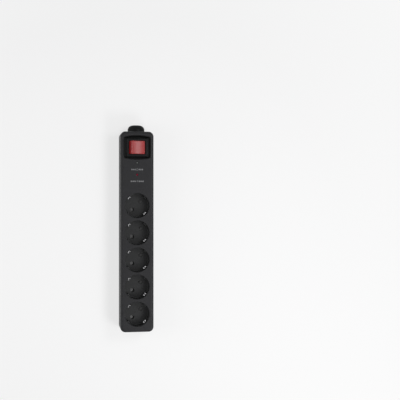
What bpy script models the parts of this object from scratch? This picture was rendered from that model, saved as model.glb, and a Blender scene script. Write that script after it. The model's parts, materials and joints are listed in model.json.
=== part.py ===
"""Surge protector strip: five earthed sockets, a lit rocker switch and two lamps in a two-part housing.

Units are metres. The strip lies on its back: +Z points out of the socket face, +Y towards the
switch end and +X across. The origin is the centre of the back, in the middle of the whole length.
"""

import math

import bmesh
import bpy
from mathutils import Matrix, Vector

MM = 0.001

# Clearances
GAP = 0.3 * MM
SEAM_GAP = 0.3 * MM
SPACING = 0.6 * MM

# Sockets
SOCKET_COUNT = 5
WELL_DIAMETER = 39.0 * MM
WELL_DEPTH = 17.5 * MM
WELL_FLOOR = 2.0 * MM
CUP_WALL = 1.5 * MM
CUP_SPACING = 1.2 * MM
RIM_CHAMFER = 0.7 * MM
RIM_SET_BACK = 0.2 * MM
PIN_SPACING = 19.0 * MM
PIN_LENGTH = 19.0 * MM
PIN_HOLE_DIAMETER = 6.2 * MM
PIN_HOLE_CHAMFER = 0.5 * MM
PIN_ANGLE = 45.0
GUIDE_RIB_WIDTH = 5.0 * MM
GUIDE_RIB_DEPTH = 2.1 * MM
INSERT_CORNER_MARGIN = 1.3 * MM

# Housing
SIDE_MARGIN = 7.0 * MM
END_MARGIN = 9.4 * MM
CONTROL_LENGTH = 96.7 * MM
WALL = 2.2 * MM
FRONT_THICKNESS = 2.4 * MM
BACK_THICKNESS = 2.2 * MM
PIN_TIP_ROOM = 1.3 * MM
REAR_DEPTH = 18.0 * MM
CORNER_RADIUS = 8.0 * MM
SHOULDER_RADIUS = 4.0 * MM
BACK_CHAMFER = 1.0 * MM
LAP_HEIGHT = 1.9 * MM
LAP_THICKNESS = 0.95 * MM
POST_THICKNESS = 3.2 * MM
POST_DEPTH = 4.5 * MM
POST_LENGTH = 13.0 * MM

# Case screws
SCREW_ROW_INSET = 7.0 * MM
SCREW_SIDE_INSET = 6.5 * MM
SCREW_SHANK_DIAMETER = 2.8 * MM
SCREW_HEAD_DIAMETER = 5.6 * MM
SCREW_HEAD_HEIGHT = 1.9 * MM
SCREW_GRIP = 8.0 * MM
SCREW_BITE = 9.0 * MM
BOSS_WALL = 1.2 * MM

# Wall hanging keyholes
KEYHOLE_HEAD_DIAMETER = 8.0 * MM
KEYHOLE_SLOT_WIDTH = 4.6 * MM
KEYHOLE_TRAVEL = 9.0 * MM
KEYHOLE_ROOM = 3.4 * MM
KEYHOLE_WALL = 1.2 * MM
KEYHOLE_FROM_SWITCH_END = 71.2 * MM

# Cable gland and cord clamp
NECK_DIAMETER = 27.0 * MM
NECK_LENGTH = 11.0 * MM
NECK_DOME = 5.5 * MM
GLAND_FLANGE_LIP = 1.0 * MM
GLAND_FLANGE_THICKNESS = 2.0 * MM
CORD_BORE_DIAMETER = 9.4 * MM
CORD_MOUTH_DIAMETER = 12.0 * MM
CORD_MOUTH_DEPTH = 3.0 * MM
CLAMP_SCREW_SPACING = 19.0 * MM
CLAMP_WIDTH = 5.6 * MM
CLAMP_THICKNESS = 2.2 * MM
CLAMP_SCREW_DIAMETER = 2.4 * MM
CLAMP_HEAD_DIAMETER = 4.8 * MM
CLAMP_HEAD_HEIGHT = 1.7 * MM
CLAMP_BOSS_DIAMETER = 6.4 * MM
CLAMP_SCREW_BITE = 7.0 * MM

# Shutters behind the pin holes
SHUTTER_THICKNESS = 2.6 * MM
SHUTTER_RAMP = 1.6 * MM
SHUTTER_COVER = 0.6 * MM
HUB_DIAMETER = 8.0 * MM
HUB_WALL = 1.7 * MM
SPRING_ROOM = 3.6 * MM
SPRING_WIRE_DIAMETER = 0.44 * MM
SPRING_PITCH = 0.92 * MM
SPRING_LEG_REACH = 4.6 * MM
PEG_DIAMETER = 1.6 * MM
PEG_RADIUS = 6.5 * MM
PEG_ANGLE = 150.0

# Current rails
SHEET = 0.8 * MM
CONTACT_LENGTH = 7.0 * MM
CONTACT_HALF_WIDTH = 3.1 * MM
CONTACT_WAIST = 1.9 * MM
CONTACT_TOP_ROOM = 1.0 * MM
CONTACT_FLANK_SHARE = 0.35
CONTACT_GRIP_SHARES = (0.66, 0.74)
RAIL_WIDTH = 5.0 * MM
RAIL_SHEET = 0.6 * MM
RAIL_TAB = 8.0 * MM
EARTH_ARM_WIDTH = 6.0 * MM
EARTH_ARM_CLEARANCE = 0.7 * MM
EARTH_BULGE = 1.9 * MM
EARTH_TIP_BELOW_FRONT = 4.6 * MM
EARTH_BEND = 1.6 * MM

# Switch
SWITCH_FROM_END = 25.5 * MM
RECESS_WIDTH = 41.5 * MM
RECESS_LENGTH = 31.6 * MM
RECESS_BULGE = 2.5 * MM
RECESS_CORNER = 3.0 * MM
RECESS_DEPTH = 4.0 * MM
SCOOP_DEPTH = 5.2 * MM
SCOOP_START = 0.5 * MM
RECESS_FLOOR = 1.4 * MM
ROCKER_RADIUS = 12.9 * MM
ROCKER_WIDTH = 20.8 * MM
ROCKER_END_HEIGHT = 7.8 * MM
ROCKER_DISH = 1.0 * MM
ROCKER_SKIRT = 4.4 * MM
ROCKER_WALL = 1.5 * MM
ROCKER_TILT = 12.0
PIVOT_BELOW_BEZEL = 3.5 * MM
TRUNNION_DIAMETER = 2.6 * MM
BEZEL_BORDER = 3.8 * MM
BEZEL_THICKNESS = 1.7 * MM
BEZEL_CHAMFER = 0.6 * MM
SWITCH_WALL = 1.1 * MM
SWITCH_FLOOR = 1.5 * MM
SWITCH_DEPTH = 17.8 * MM
SNAP_HEIGHT = 5.0 * MM
SNAP_DEPTH = 1.0 * MM
POLE_OFFSET = 5.0 * MM
OUTPUT_TERMINAL_X = -7.5 * MM
TERMINAL_WIDTH = 6.3 * MM
TERMINAL_DROP = 9.5 * MM
BLADE_WIDTH = 4.0 * MM
BLADE_REACH = 9.0 * MM
BLADE_TAIL = 6.0 * MM
BLADE_TILT_RATIO = 0.6
BLADE_ABOVE_FLOOR = 3.2 * MM
PLUNGER_DIAMETER = 3.2 * MM
PLUNGER_LENGTH = 5.6 * MM
PLUNGER_TUBE_WALL = 0.7 * MM
PLUNGER_SPRING_LENGTH = 4.2 * MM
PLUNGER_SPRING_WIRE = 0.3 * MM
PLUNGER_SPRING_TURNS = 3
LAMP_LENGTH = 10.0 * MM
LAMP_ABOVE_PIVOT = 1.0 * MM

# Circuit board and lamps
BOARD_WIDTH = 44.0 * MM
BOARD_FROM_END = 47.7 * MM
BOARD_END_ROOM = 3.5 * MM
BOARD_THICKNESS = 1.6 * MM
BOARD_HEIGHT = 17.0 * MM
BOARD_POST_INSET = 3.0 * MM
BOARD_POST_DIAMETER = 4.8 * MM
POWER_LED_FROM_END = 50.2 * MM
SURGE_LED_FROM_END = 69.0 * MM
LED_DIAMETER = 3.0 * MM
LED_FLANGE_DIAMETER = 3.8 * MM
LED_FLANGE_THICKNESS = 1.0 * MM
LED_PROUD = 0.6 * MM
LED_SHANK = 2.0 * MM
VARISTOR_COUNT = 3
VARISTOR_DIAMETER = 14.0 * MM
VARISTOR_THICKNESS = 4.6 * MM
VARISTOR_RISE = 6.8 * MM
VARISTOR_PITCH = 8.0 * MM
COMPONENT_FROM_SIDE = 10.0 * MM
CAPACITOR_SIZE = (8.5 * MM, 18.0 * MM, 15.0 * MM)
CAPACITOR_CORNER = 0.9 * MM
FUSE_DIAMETER = 4.0 * MM
FUSE_LENGTH = 11.0 * MM
FUSE_FROM_BOARD_END = 8.0 * MM
FUSE_TO_VARISTOR = 2.45 * MM

# Leads
LEAD_DIAMETER = 2.8 * MM
BOARD_LEAD_DIAMETER = 1.8 * MM
LEAD_SIDE_RUN = 14.0 * MM

# Facets
WELL_SIDES = 26
ROUND_SIDES = 16
PIN_HOLE_SIDES = 12
GLAND_SIDES = 20
CORNER_STEPS = 4
SMALL_SIDES = 10
SCREW_SIDES = 8
EARTH_BOW_STEPS = 5
ROCKER_END_STEPS = 4
TURN_POINTS = 8

# Levels up the strip
BODY_HEIGHT = BACK_THICKNESS + PIN_TIP_ROOM + PIN_LENGTH + WELL_DEPTH
PLATE_UNDERSIDE = BODY_HEIGHT - FRONT_THICKNESS
WELL_FLOOR_TOP = BODY_HEIGHT - WELL_DEPTH
INSERT_UNDERSIDE = WELL_FLOOR_TOP - WELL_FLOOR
SHUTTER_TOP = INSERT_UNDERSIDE - GAP
SHUTTER_UNDERSIDE = SHUTTER_TOP - SHUTTER_THICKNESS
HUB_UNDERSIDE = SHUTTER_UNDERSIDE - SPRING_ROOM
BRIDGE_TOP = HUB_UNDERSIDE - GAP
RAIL_UNDERSIDE = BACK_THICKNESS + GAP
EARTH_SPINE_TOP = BRIDGE_TOP - SHEET / 2
EARTH_SPINE_UNDERSIDE = EARTH_SPINE_TOP - SHEET
SEAM = REAR_DEPTH
RECESS_TOP = BODY_HEIGHT - RECESS_DEPTH
SCOOP_TOP = BODY_HEIGHT - SCOOP_DEPTH
BEZEL_UNDERSIDE = RECESS_TOP + GAP
BEZEL_TOP = BEZEL_UNDERSIDE + BEZEL_THICKNESS
PIVOT = BEZEL_TOP - PIVOT_BELOW_BEZEL
SWITCH_UNDERSIDE = BEZEL_UNDERSIDE - SWITCH_DEPTH
SWITCH_FLOOR_TOP = SWITCH_UNDERSIDE + SWITCH_FLOOR
BLADE_PIVOT = SWITCH_FLOOR_TOP + BLADE_ABOVE_FLOOR
BOARD_TOP = BOARD_HEIGHT + BOARD_THICKNESS

# Plan of the strip
CUP_RADIUS = WELL_DIAMETER / 2 + CUP_WALL
SOCKET_PITCH = 2 * CUP_RADIUS + CUP_SPACING
BODY_WIDTH = WELL_DIAMETER + 2 * SIDE_MARGIN
BODY_LENGTH = END_MARGIN + WELL_DIAMETER / 2 + (SOCKET_COUNT - 0.5) * SOCKET_PITCH + CONTROL_LENGTH
BODY_LOW = -(BODY_LENGTH + NECK_LENGTH) / 2
BODY_TOP = BODY_LOW + BODY_LENGTH
BODY_MIDDLE = (BODY_LOW + BODY_TOP) / 2
INNER_HALF_WIDTH = BODY_WIDTH / 2 - WALL
LAST_SOCKET = BODY_LOW + END_MARGIN + WELL_DIAMETER / 2
SOCKETS = [LAST_SOCKET + (SOCKET_COUNT - 1 - k) * SOCKET_PITCH for k in range(SOCKET_COUNT)]
FIRST_SOCKET = SOCKETS[0]
PIN_RADIUS = PIN_SPACING / 2
PIN_X = PIN_RADIUS * math.cos(math.radians(PIN_ANGLE))
PIN_Y = PIN_RADIUS * math.sin(math.radians(PIN_ANGLE))
EARTH_ANGLE = PIN_ANGLE + 90.0
EARTH_ARM_RADIUS = WELL_DIAMETER / 2 - EARTH_ARM_CLEARANCE - SHEET / 2
SWITCH_Y = BODY_TOP - SWITCH_FROM_END
SCREW_X = BODY_WIDTH / 2 - SCREW_SIDE_INSET
SCREW_ROWS = [BODY_TOP - SCREW_ROW_INSET, FIRST_SOCKET - SOCKET_PITCH / 2, BODY_LOW + SCREW_ROW_INSET]
SCREW_PLACES = [(side * SCREW_X, row) for row in SCREW_ROWS for side in (-1, 1)]
SCREW_SEAT = SEAM - SCREW_GRIP
COUNTERBORE_DIAMETER = SCREW_HEAD_DIAMETER + 2 * GAP
SWITCH_INNER_X = 2 * (ROCKER_RADIUS + GAP)
SWITCH_INNER_Y = ROCKER_WIDTH + 2 * GAP
SWITCH_OUTER_X = SWITCH_INNER_X + 2 * SWITCH_WALL
SWITCH_OUTER_Y = SWITCH_INNER_Y + 2 * SWITCH_WALL
CLAMP_Y = (BODY_TOP - WALL - GAP - GLAND_FLANGE_THICKNESS + SWITCH_Y + SWITCH_OUTER_Y / 2) / 2
BOARD_LOW = FIRST_SOCKET + SOCKET_PITCH / 2 + BOARD_END_ROOM
BOARD_HIGH = BODY_TOP - BOARD_FROM_END
BOARD_MIDDLE = (BOARD_LOW + BOARD_HIGH) / 2
COMPONENT_X = BOARD_WIDTH / 2 - COMPONENT_FROM_SIDE
FUSE_Y = BOARD_LOW + FUSE_FROM_BOARD_END
LAST_VARISTOR = FUSE_Y + FUSE_DIAMETER / 2 + FUSE_TO_VARISTOR + VARISTOR_THICKNESS / 2
KEYHOLE_ROWS = [
    BODY_TOP - KEYHOLE_FROM_SWITCH_END,
    BODY_LOW + WALL + SPACING + KEYHOLE_HEAD_DIAMETER / 2,
]

# Directions for profiles that are drawn upright: across the strip, then up
ACROSS = Matrix(((1, 0, 0, 0), (0, 0, 1, 0), (0, 1, 0, 0), (0, 0, 0, 1)))


# Outlines


def arc(centre, radius, start, end, steps):
    """Points on a circle from one angle to another, in degrees, both ends included."""
    turns = [math.radians(start + (end - start) * k / steps) for k in range(steps + 1)]
    return [(centre[0] + radius * math.cos(t), centre[1] + radius * math.sin(t)) for t in turns]


def circle(radius, centre=(0, 0), sides=ROUND_SIDES):
    return arc(centre, radius, 0, 360, sides)[:-1]


def rectangle(width, length, centre=(0, 0)):
    x, y = centre
    corners = ((-1, -1), (1, -1), (1, 1), (-1, 1))
    return [(x + i * width / 2, y + j * length / 2) for i, j in corners]


def rounded_rectangle(width, length, radius, centre=(0, 0), steps=CORNER_STEPS):
    x, y = width / 2 - radius, length / 2 - radius
    points = []
    for i, j, start in ((1, 1, 0), (-1, 1, 90), (-1, -1, 180), (1, -1, 270)):
        points += arc((centre[0] + i * x, centre[1] + j * y), radius, start, start + 90, steps)
    return points


def slot(width, start, end, row, sides=8):
    """A round-ended slot along X."""
    right = arc((end, row), width / 2, -90, 90, sides)
    return right + arc((start, row), width / 2, 90, 270, sides)


def barrel(width, length, bulge, corner, centre, steps=8):
    """A rectangle whose two short ends bow outwards, with eased corners."""
    radius = (width**2 / 4 + bulge**2) / (2 * bulge)
    reach = math.degrees(math.asin((width / 2 - corner) / radius))
    end = arc((0, length / 2 + bulge - radius), radius, 90 - reach, 90 + reach, steps)
    side = [(width / 2, corner - length / 2), (width / 2, length / 2 - corner)]
    ease = [(width / 2 - corner * 0.29, length / 2 - corner * 0.2)]
    half = side[1:] + ease + end + [(-x, y) for x, y in ease + side[1:]]
    points = half + [(-x, -y) for x, y in half]
    return [(centre[0] + x, centre[1] + y) for x, y in points]


def ribbon(path, thickness):
    """The closed outline of a bent sheet of even thickness along a path."""
    points = [Vector(p) for p in path]
    left, right = [], []
    for k, point in enumerate(points):
        before = (point - points[max(k - 1, 0)]).normalized() if k else Vector((0, 0))
        after = (points[k + 1] - point).normalized() if k + 1 < len(points) else Vector((0, 0))
        along = (before + after).normalized()
        normal = Vector((-along.y, along.x))
        straight = max((before if k else after).dot(along), 0.3)
        left.append(tuple(point + normal * thickness / 2 / straight))
        right.append(tuple(point - normal * thickness / 2 / straight))
    return left + right[::-1]


# Meshes


def finished(bm):
    bmesh.ops.recalc_face_normals(bm, faces=bm.faces)
    mesh = bpy.data.meshes.new("shape")
    bm.to_mesh(mesh)
    bm.free()
    return mesh


def prism(outline, low, high, frame=None, chamfer_high=0.0, chamfer_low=0.0, chamfer_steps=1):
    """An outline extruded from one level to another, with its end edges eased if asked."""
    bm = bmesh.new()
    base = bm.faces.new([bm.verts.new((x, y, low)) for x, y in outline])
    raised = bmesh.ops.extrude_face_region(bm, geom=[base])["geom"]
    top = [v for v in raised if isinstance(v, bmesh.types.BMVert)]
    bmesh.ops.translate(bm, verts=top, vec=(0, 0, high - low))
    for width, level in ((chamfer_high, high), (chamfer_low, low)):
        if width:
            rim = [e for e in bm.edges if all(abs(v.co.z - level) < 1e-7 for v in e.verts)]
            bmesh.ops.bevel(
                bm, geom=rim, offset=width, segments=chamfer_steps, profile=0.5, affect="EDGES"
            )
    if frame is not None:
        bmesh.ops.transform(bm, matrix=frame, verts=bm.verts)
    return finished(bm)


def block(low, high):
    """A box between two corners."""
    centre = ((low[0] + high[0]) / 2, (low[1] + high[1]) / 2)
    return prism(rectangle(high[0] - low[0], high[1] - low[1], centre), low[2], high[2])


def turned(profile, sides, frame=None):
    """A closed profile of (radius, level) points turned about the Z axis."""
    bm = bmesh.new()
    verts = [bm.verts.new((r, 0, z)) for r, z in profile]
    edges = [bm.edges.new((verts[k - 1], verts[k])) for k in range(len(verts))]
    bmesh.ops.spin(
        bm, geom=verts + edges, axis=(0, 0, 1), angle=2 * math.pi, steps=sides, use_merge=True
    )
    bmesh.ops.remove_doubles(bm, verts=bm.verts, dist=1e-7)
    loose = [e for e in bm.edges if not e.link_faces]
    bmesh.ops.delete(bm, geom=loose, context="EDGES")
    if frame is not None:
        bmesh.ops.transform(bm, matrix=frame, verts=bm.verts)
    return finished(bm)


def together(meshes):
    """Several shapes that don't touch, held in one mesh."""
    bm = bmesh.new()
    for mesh in meshes:
        bm.from_mesh(mesh)
    return finished(bm)


def combined(mesh, tool, operation):
    body = bpy.data.objects.new("body", mesh)
    helper = bpy.data.objects.new("helper", tool)
    for obj in (body, helper):
        bpy.context.scene.collection.objects.link(obj)
    modifier = body.modifiers.new("shape", "BOOLEAN")
    modifier.object = helper
    modifier.operation = operation
    graph = bpy.context.evaluated_depsgraph_get()
    result = bpy.data.meshes.new_from_object(body.evaluated_get(graph))
    for obj in (body, helper):
        bpy.data.objects.remove(obj)
    return result


def cut(mesh, *tools):
    for tool in tools:
        mesh = combined(mesh, tool, "DIFFERENCE")
    return mesh


def joined(mesh, *tools):
    for tool in tools:
        mesh = combined(mesh, tool, "UNION")
    return mesh


# Objects


def material(name, colour, roughness, metallic=0.0):
    made = bpy.data.materials.new(name)
    made.use_nodes = True
    shader = made.node_tree.nodes["Principled BSDF"]
    shader.inputs["Base Color"].default_value = (*colour, 1.0)
    shader.inputs["Roughness"].default_value = roughness
    shader.inputs["Metallic"].default_value = metallic
    return made


def add(name, data, finish, location=(0, 0, 0), parent=None):
    obj = bpy.data.objects.new(name, data)
    bpy.context.scene.collection.objects.link(obj)
    obj.location = location
    obj.parent = parent
    if not data.materials:
        data.materials.append(finish)
    if obj.type == "MESH":
        data.shade_smooth()
        data.set_sharp_from_angle(angle=math.radians(35))
    return obj


def pivot(name, location, tilt):
    """An empty on a joint's axis, turned about Y."""
    empty = bpy.data.objects.new(name, None)
    bpy.context.scene.collection.objects.link(empty)
    empty.location = location
    empty.rotation_euler = (0, math.radians(tilt), 0)
    return empty


def tube(points, radius, resolution):
    """A curve with a round section and closed ends through the given points."""
    curve = bpy.data.curves.new("tube", "CURVE")
    curve.dimensions = "3D"
    curve.bevel_depth = radius
    curve.bevel_resolution = resolution
    curve.use_fill_caps = True
    spline = curve.splines.new("POLY")
    spline.points.add(len(points) - 1)
    for target, point in zip(spline.points, points):
        target.co = (*point, 1)
    return curve


def smooth_route(points, per_span=2):
    """Points on a smooth curve through the route's own points."""
    ends = [Vector(p) for p in (points[0], *points, points[-1])]
    route = []
    for a, b, c, d in zip(ends, ends[1:], ends[2:], ends[3:]):
        for k in range(per_span):
            t = k / per_span
            route.append(0.5 * (2 * b + (c - a) * t + (2 * a - 5 * b + 4 * c - d) * t**2
                                + (3 * b - a - 3 * c + d) * t**3))
    return route + [ends[-1]]


def polar(radius, angle, level):
    turn = math.radians(angle)
    return (radius * math.cos(turn), radius * math.sin(turn), level)


def about_z(angle, offset=(0, 0, 0)):
    return Matrix.Translation(offset) @ Matrix.Rotation(math.radians(angle), 4, "Z")


# Housing


def outer_outline(inset=0.0):
    return rounded_rectangle(
        BODY_WIDTH - 2 * inset, BODY_LENGTH - 2 * inset, CORNER_RADIUS - inset, (0, BODY_MIDDLE)
    )


def gland_hole():
    outline = circle(NECK_DIAMETER / 2 + GAP, (0, SEAM), GLAND_SIDES)
    return prism(outline, BODY_TOP - 2 * WALL, BODY_TOP + WALL, ACROSS)


def screw_columns(radius, low, high):
    """A round column at every case screw."""
    return together([prism(circle(radius, place, SCREW_SIDES), low, high) for place in SCREW_PLACES])


def well_opening(row):
    radius = WELL_DIAMETER / 2 + RIM_SET_BACK
    low, past = PLATE_UNDERSIDE - FRONT_THICKNESS, BODY_HEIGHT + RIM_CHAMFER
    edge = BODY_HEIGHT - RIM_CHAMFER
    profile = [(0, low), (radius, low), (radius, edge), (radius + 2 * RIM_CHAMFER, past), (0, past)]
    return turned(profile, WELL_SIDES, Matrix.Translation((0, row, 0)))


def front_cover_mesh():
    shell = prism(
        outer_outline(), SEAM + SEAM_GAP / 2, BODY_HEIGHT, chamfer_high=SHOULDER_RADIUS, chamfer_steps=3
    )
    lap = prism(outer_outline(WALL - LAP_THICKNESS - GAP), 0, SEAM + LAP_HEIGHT + GAP)
    shell = cut(shell, lap, prism(outer_outline(WALL), 0, PLATE_UNDERSIDE))
    boss_radius = SCREW_SHANK_DIAMETER / 2 + GAP + BOSS_WALL
    shell = joined(shell, screw_columns(boss_radius, SEAM + GAP, PLATE_UNDERSIDE + GAP))
    shell = cut(shell, screw_columns(SCREW_SHANK_DIAMETER / 2 + GAP, 0, SEAM + SCREW_BITE + 2 * GAP))
    shell = switch_recess(shell)
    shell = cut(shell, together([well_opening(row) for row in SOCKETS]))
    leds = [prism(circle(LED_DIAMETER / 2 + GAP, (0, row), SMALL_SIDES), RECESS_TOP, BODY_HEIGHT + GAP)
            for row in (BODY_TOP - POWER_LED_FROM_END, BODY_TOP - SURGE_LED_FROM_END)]
    return cut(shell, together(leds), gland_hole())


def switch_recess(shell):
    """The barrel-shaped recess round the switch, with a deeper scoop at each end of its floor."""
    place = (0, SWITCH_Y)
    skirt = barrel(RECESS_WIDTH + 2 * RECESS_FLOOR, RECESS_LENGTH + 2 * RECESS_FLOOR,
                   RECESS_BULGE, RECESS_CORNER + RECESS_FLOOR, place)
    mouth = barrel(RECESS_WIDTH, RECESS_LENGTH, RECESS_BULGE, RECESS_CORNER, place)
    bottom = SCOOP_TOP - RECESS_FLOOR
    shell = joined(shell, prism(skirt, bottom, PLATE_UNDERSIDE + GAP))
    shell = cut(shell, prism(mouth, SCOOP_TOP, BODY_HEIGHT + GAP))
    table = rectangle(RECESS_WIDTH + RECESS_FLOOR, RECESS_LENGTH - 2 * SCOOP_START, place)
    shell = joined(shell, prism(table, SCOOP_TOP - RECESS_FLOOR / 2, RECESS_TOP))
    window = rectangle(SWITCH_OUTER_X + 2 * GAP, SWITCH_OUTER_Y + 2 * GAP, place)
    return cut(shell, prism(window, bottom - GAP, BODY_HEIGHT))


def keyhole_housing(row):
    """A closed pocket over a keyhole, which keeps the hanging screw away from the rails."""
    half = KEYHOLE_HEAD_DIAMETER / 2 + SPACING + KEYHOLE_WALL
    side = KEYHOLE_TRAVEL / 2 + half
    top = BACK_THICKNESS + KEYHOLE_ROOM + KEYHOLE_WALL
    return block((-side, row - half, BACK_THICKNESS / 2), (side, row + half, top))


def keyhole_cuts(row):
    start, end = -KEYHOLE_TRAVEL / 2, KEYHOLE_TRAVEL / 2
    head = circle(KEYHOLE_HEAD_DIAMETER / 2, (start, row))
    room = slot(KEYHOLE_HEAD_DIAMETER + 2 * GAP, start, end, row)
    through = BACK_THICKNESS + KEYHOLE_ROOM / 2
    return (
        prism(head, -BACK_THICKNESS, through),
        prism(slot(KEYHOLE_SLOT_WIDTH, start, end, row), -BACK_THICKNESS, through),
        prism(room, BACK_THICKNESS, BACK_THICKNESS + KEYHOLE_ROOM),
    )


def insert_posts():
    """Posts that carry the socket inserts, one on each side of every socket."""
    x = INNER_HALF_WIDTH - GAP - POST_DEPTH / 2
    places = [(side * x, row) for row in SOCKETS for side in (-1, 1)]
    outlines = [rectangle(POST_DEPTH, POST_LENGTH, place) for place in places]
    return together([prism(outline, BACK_THICKNESS / 2, INSERT_UNDERSIDE - GAP) for outline in outlines])


def earth_posts():
    """Posts under the earth rail, between the sockets and at its two ends."""
    rows = [row + SOCKET_PITCH / 2 for row in SOCKETS] + [LAST_SOCKET]
    high = EARTH_SPINE_UNDERSIDE - GAP
    outlines = [rectangle(RAIL_WIDTH - SPACING, POST_THICKNESS, (0, row)) for row in rows]
    return together([prism(outline, BACK_THICKNESS / 2, high) for outline in outlines])


def board_post_places():
    x = BOARD_WIDTH / 2 - BOARD_POST_INSET
    rows = (BOARD_LOW + BOARD_POST_INSET, BOARD_HIGH - BOARD_POST_INSET)
    return [(side * x, row) for side in (-1, 1) for row in rows]


def clamp_places():
    return [(side * CLAMP_SCREW_SPACING / 2, CLAMP_Y) for side in (-1, 1)]


def clamp_seat():
    return SEAM - SPACING


def rear_cover_mesh():
    tray = prism(outer_outline(), 0, SEAM - SEAM_GAP / 2, chamfer_low=BACK_CHAMFER)
    tongue = prism(outer_outline(WALL - LAP_THICKNESS), BACK_THICKNESS * 2, SEAM + LAP_HEIGHT)
    cavity = prism(outer_outline(WALL), BACK_THICKNESS, BODY_HEIGHT)
    tray = cut(joined(tray, tongue), cavity)
    boss_radius = COUNTERBORE_DIAMETER / 2 + BOSS_WALL
    tray = joined(tray, screw_columns(boss_radius, BACK_THICKNESS / 2, SEAM - GAP))
    for row in KEYHOLE_ROWS:
        tray = joined(tray, keyhole_housing(row))
    tray = joined(tray, insert_posts(), earth_posts())
    for place in board_post_places():
        outline = circle(BOARD_POST_DIAMETER / 2, place, SMALL_SIDES)
        tray = joined(tray, prism(outline, BACK_THICKNESS / 2, BOARD_HEIGHT - GAP))
    for place in clamp_places():
        boss = circle(CLAMP_BOSS_DIAMETER / 2, place, SMALL_SIDES)
        pilot = circle(CLAMP_SCREW_DIAMETER / 2 + GAP, place, SCREW_SIDES)
        tray = joined(tray, prism(boss, BACK_THICKNESS / 2, clamp_seat()))
        tray = cut(tray, prism(pilot, clamp_seat() - CLAMP_SCREW_BITE - GAP, BODY_HEIGHT))
    for row in KEYHOLE_ROWS:
        tray = cut(tray, *keyhole_cuts(row))
    shanks = screw_columns(SCREW_SHANK_DIAMETER / 2 + GAP, BACK_THICKNESS, BODY_HEIGHT)
    bores = screw_columns(COUNTERBORE_DIAMETER / 2, -BACK_THICKNESS, SCREW_SEAT)
    return cut(tray, shanks, bores, gland_hole())


def screw_mesh(shank, head, head_height, reach):
    """A pan-head screw along +Z, with its head's seat at the origin."""
    profile = [(0, -head_height), (head / 2, -head_height), (head / 2, 0), (shank / 2, 0),
               (shank / 2, reach), (0, reach)]
    return turned(profile, SCREW_SIDES)


# Sockets


def insert_outline():
    """An eight-sided base that clears the screw bosses at the corners."""
    x = INNER_HALF_WIDTH - SPACING
    y = SOCKET_PITCH / 2 - SPACING / 2
    reach = (CUP_RADIUS + INSERT_CORNER_MARGIN) * math.sqrt(2)
    corners = [(x, reach - x), (reach - y, y), (y - reach, y), (-x, reach - x)]
    return corners + [(-a, -b) for a, b in corners]


def insert_mesh():
    """One socket well: a cup on an eight-sided base, with its guide ribs, holes and shutter stud."""
    inner, rim = WELL_DIAMETER / 2, PLATE_UNDERSIDE - GAP
    base = prism(insert_outline(), INSERT_UNDERSIDE, WELL_FLOOR_TOP)
    foot = INSERT_UNDERSIDE + WELL_FLOOR / 4
    cup = turned([(0, foot), (CUP_RADIUS, foot), (CUP_RADIUS, rim), (0, rim)], WELL_SIDES)
    hollow = [(0, WELL_FLOOR_TOP), (inner, WELL_FLOOR_TOP), (inner, rim + GAP), (0, rim + GAP)]
    shell = cut(joined(base, cup), turned(hollow, WELL_SIDES))
    ribs, holes, slots = [], [], []
    for turn in (0, 180):
        ribs.append(guide_rib(PIN_ANGLE + turn))
        holes.append(pin_hole(PIN_ANGLE + turn))
        slots.append(earth_slot(EARTH_ANGLE + turn))
    shell = cut(joined(shell, together(ribs)), together(holes), together(slots))
    stud = circle(HUB_DIAMETER / 2 - HUB_WALL - GAP, (0, 0), SMALL_SIDES)
    peg = circle(PEG_DIAMETER / 2, polar(PEG_RADIUS, PEG_ANGLE, 0)[:2], SMALL_SIDES // 2)
    posts = [prism(stud, HUB_UNDERSIDE + GAP, WELL_FLOOR_TOP - WELL_FLOOR / 2),
             prism(peg, HUB_UNDERSIDE + GAP, WELL_FLOOR_TOP - WELL_FLOOR / 2)]
    return joined(shell, together(posts))


def guide_rib(angle):
    inner = WELL_DIAMETER / 2
    outline = rectangle(GUIDE_RIB_DEPTH + CUP_WALL / 2, GUIDE_RIB_WIDTH,
                        (inner - GUIDE_RIB_DEPTH / 2 + CUP_WALL / 4, 0))
    low, high = WELL_FLOOR_TOP - WELL_FLOOR / 2, PLATE_UNDERSIDE - 2 * GUIDE_RIB_DEPTH
    return prism(outline, low, high, about_z(angle), chamfer_high=GUIDE_RIB_DEPTH / 3)


def pin_hole(angle):
    radius = PIN_HOLE_DIAMETER / 2
    edge, past = WELL_FLOOR_TOP - PIN_HOLE_CHAMFER, WELL_FLOOR_TOP + PIN_HOLE_CHAMFER
    low = INSERT_UNDERSIDE - WELL_FLOOR
    profile = [(0, low), (radius, low), (radius, edge), (radius + 2 * PIN_HOLE_CHAMFER, past), (0, past)]
    return turned(profile, PIN_HOLE_SIDES, Matrix.Translation(polar(PIN_RADIUS, angle, 0)))


def earth_slot(angle):
    """The opening in the well's floor that an earth arm stands in."""
    inner = EARTH_ARM_RADIUS - SHEET / 2 - SPACING
    outer = EARTH_ARM_RADIUS + SHEET / 2 + GAP
    outline = rectangle(outer - inner, EARTH_ARM_WIDTH + 2 * GAP, ((inner + outer) / 2, 0))
    return prism(outline, INSERT_UNDERSIDE - WELL_FLOOR, WELL_FLOOR_TOP + WELL_FLOOR, about_z(angle))


# Shutters


def shutter_half_angle():
    return math.degrees(math.asin((PIN_HOLE_DIAMETER / 2 + SHUTTER_COVER) / PIN_RADIUS))


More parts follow.
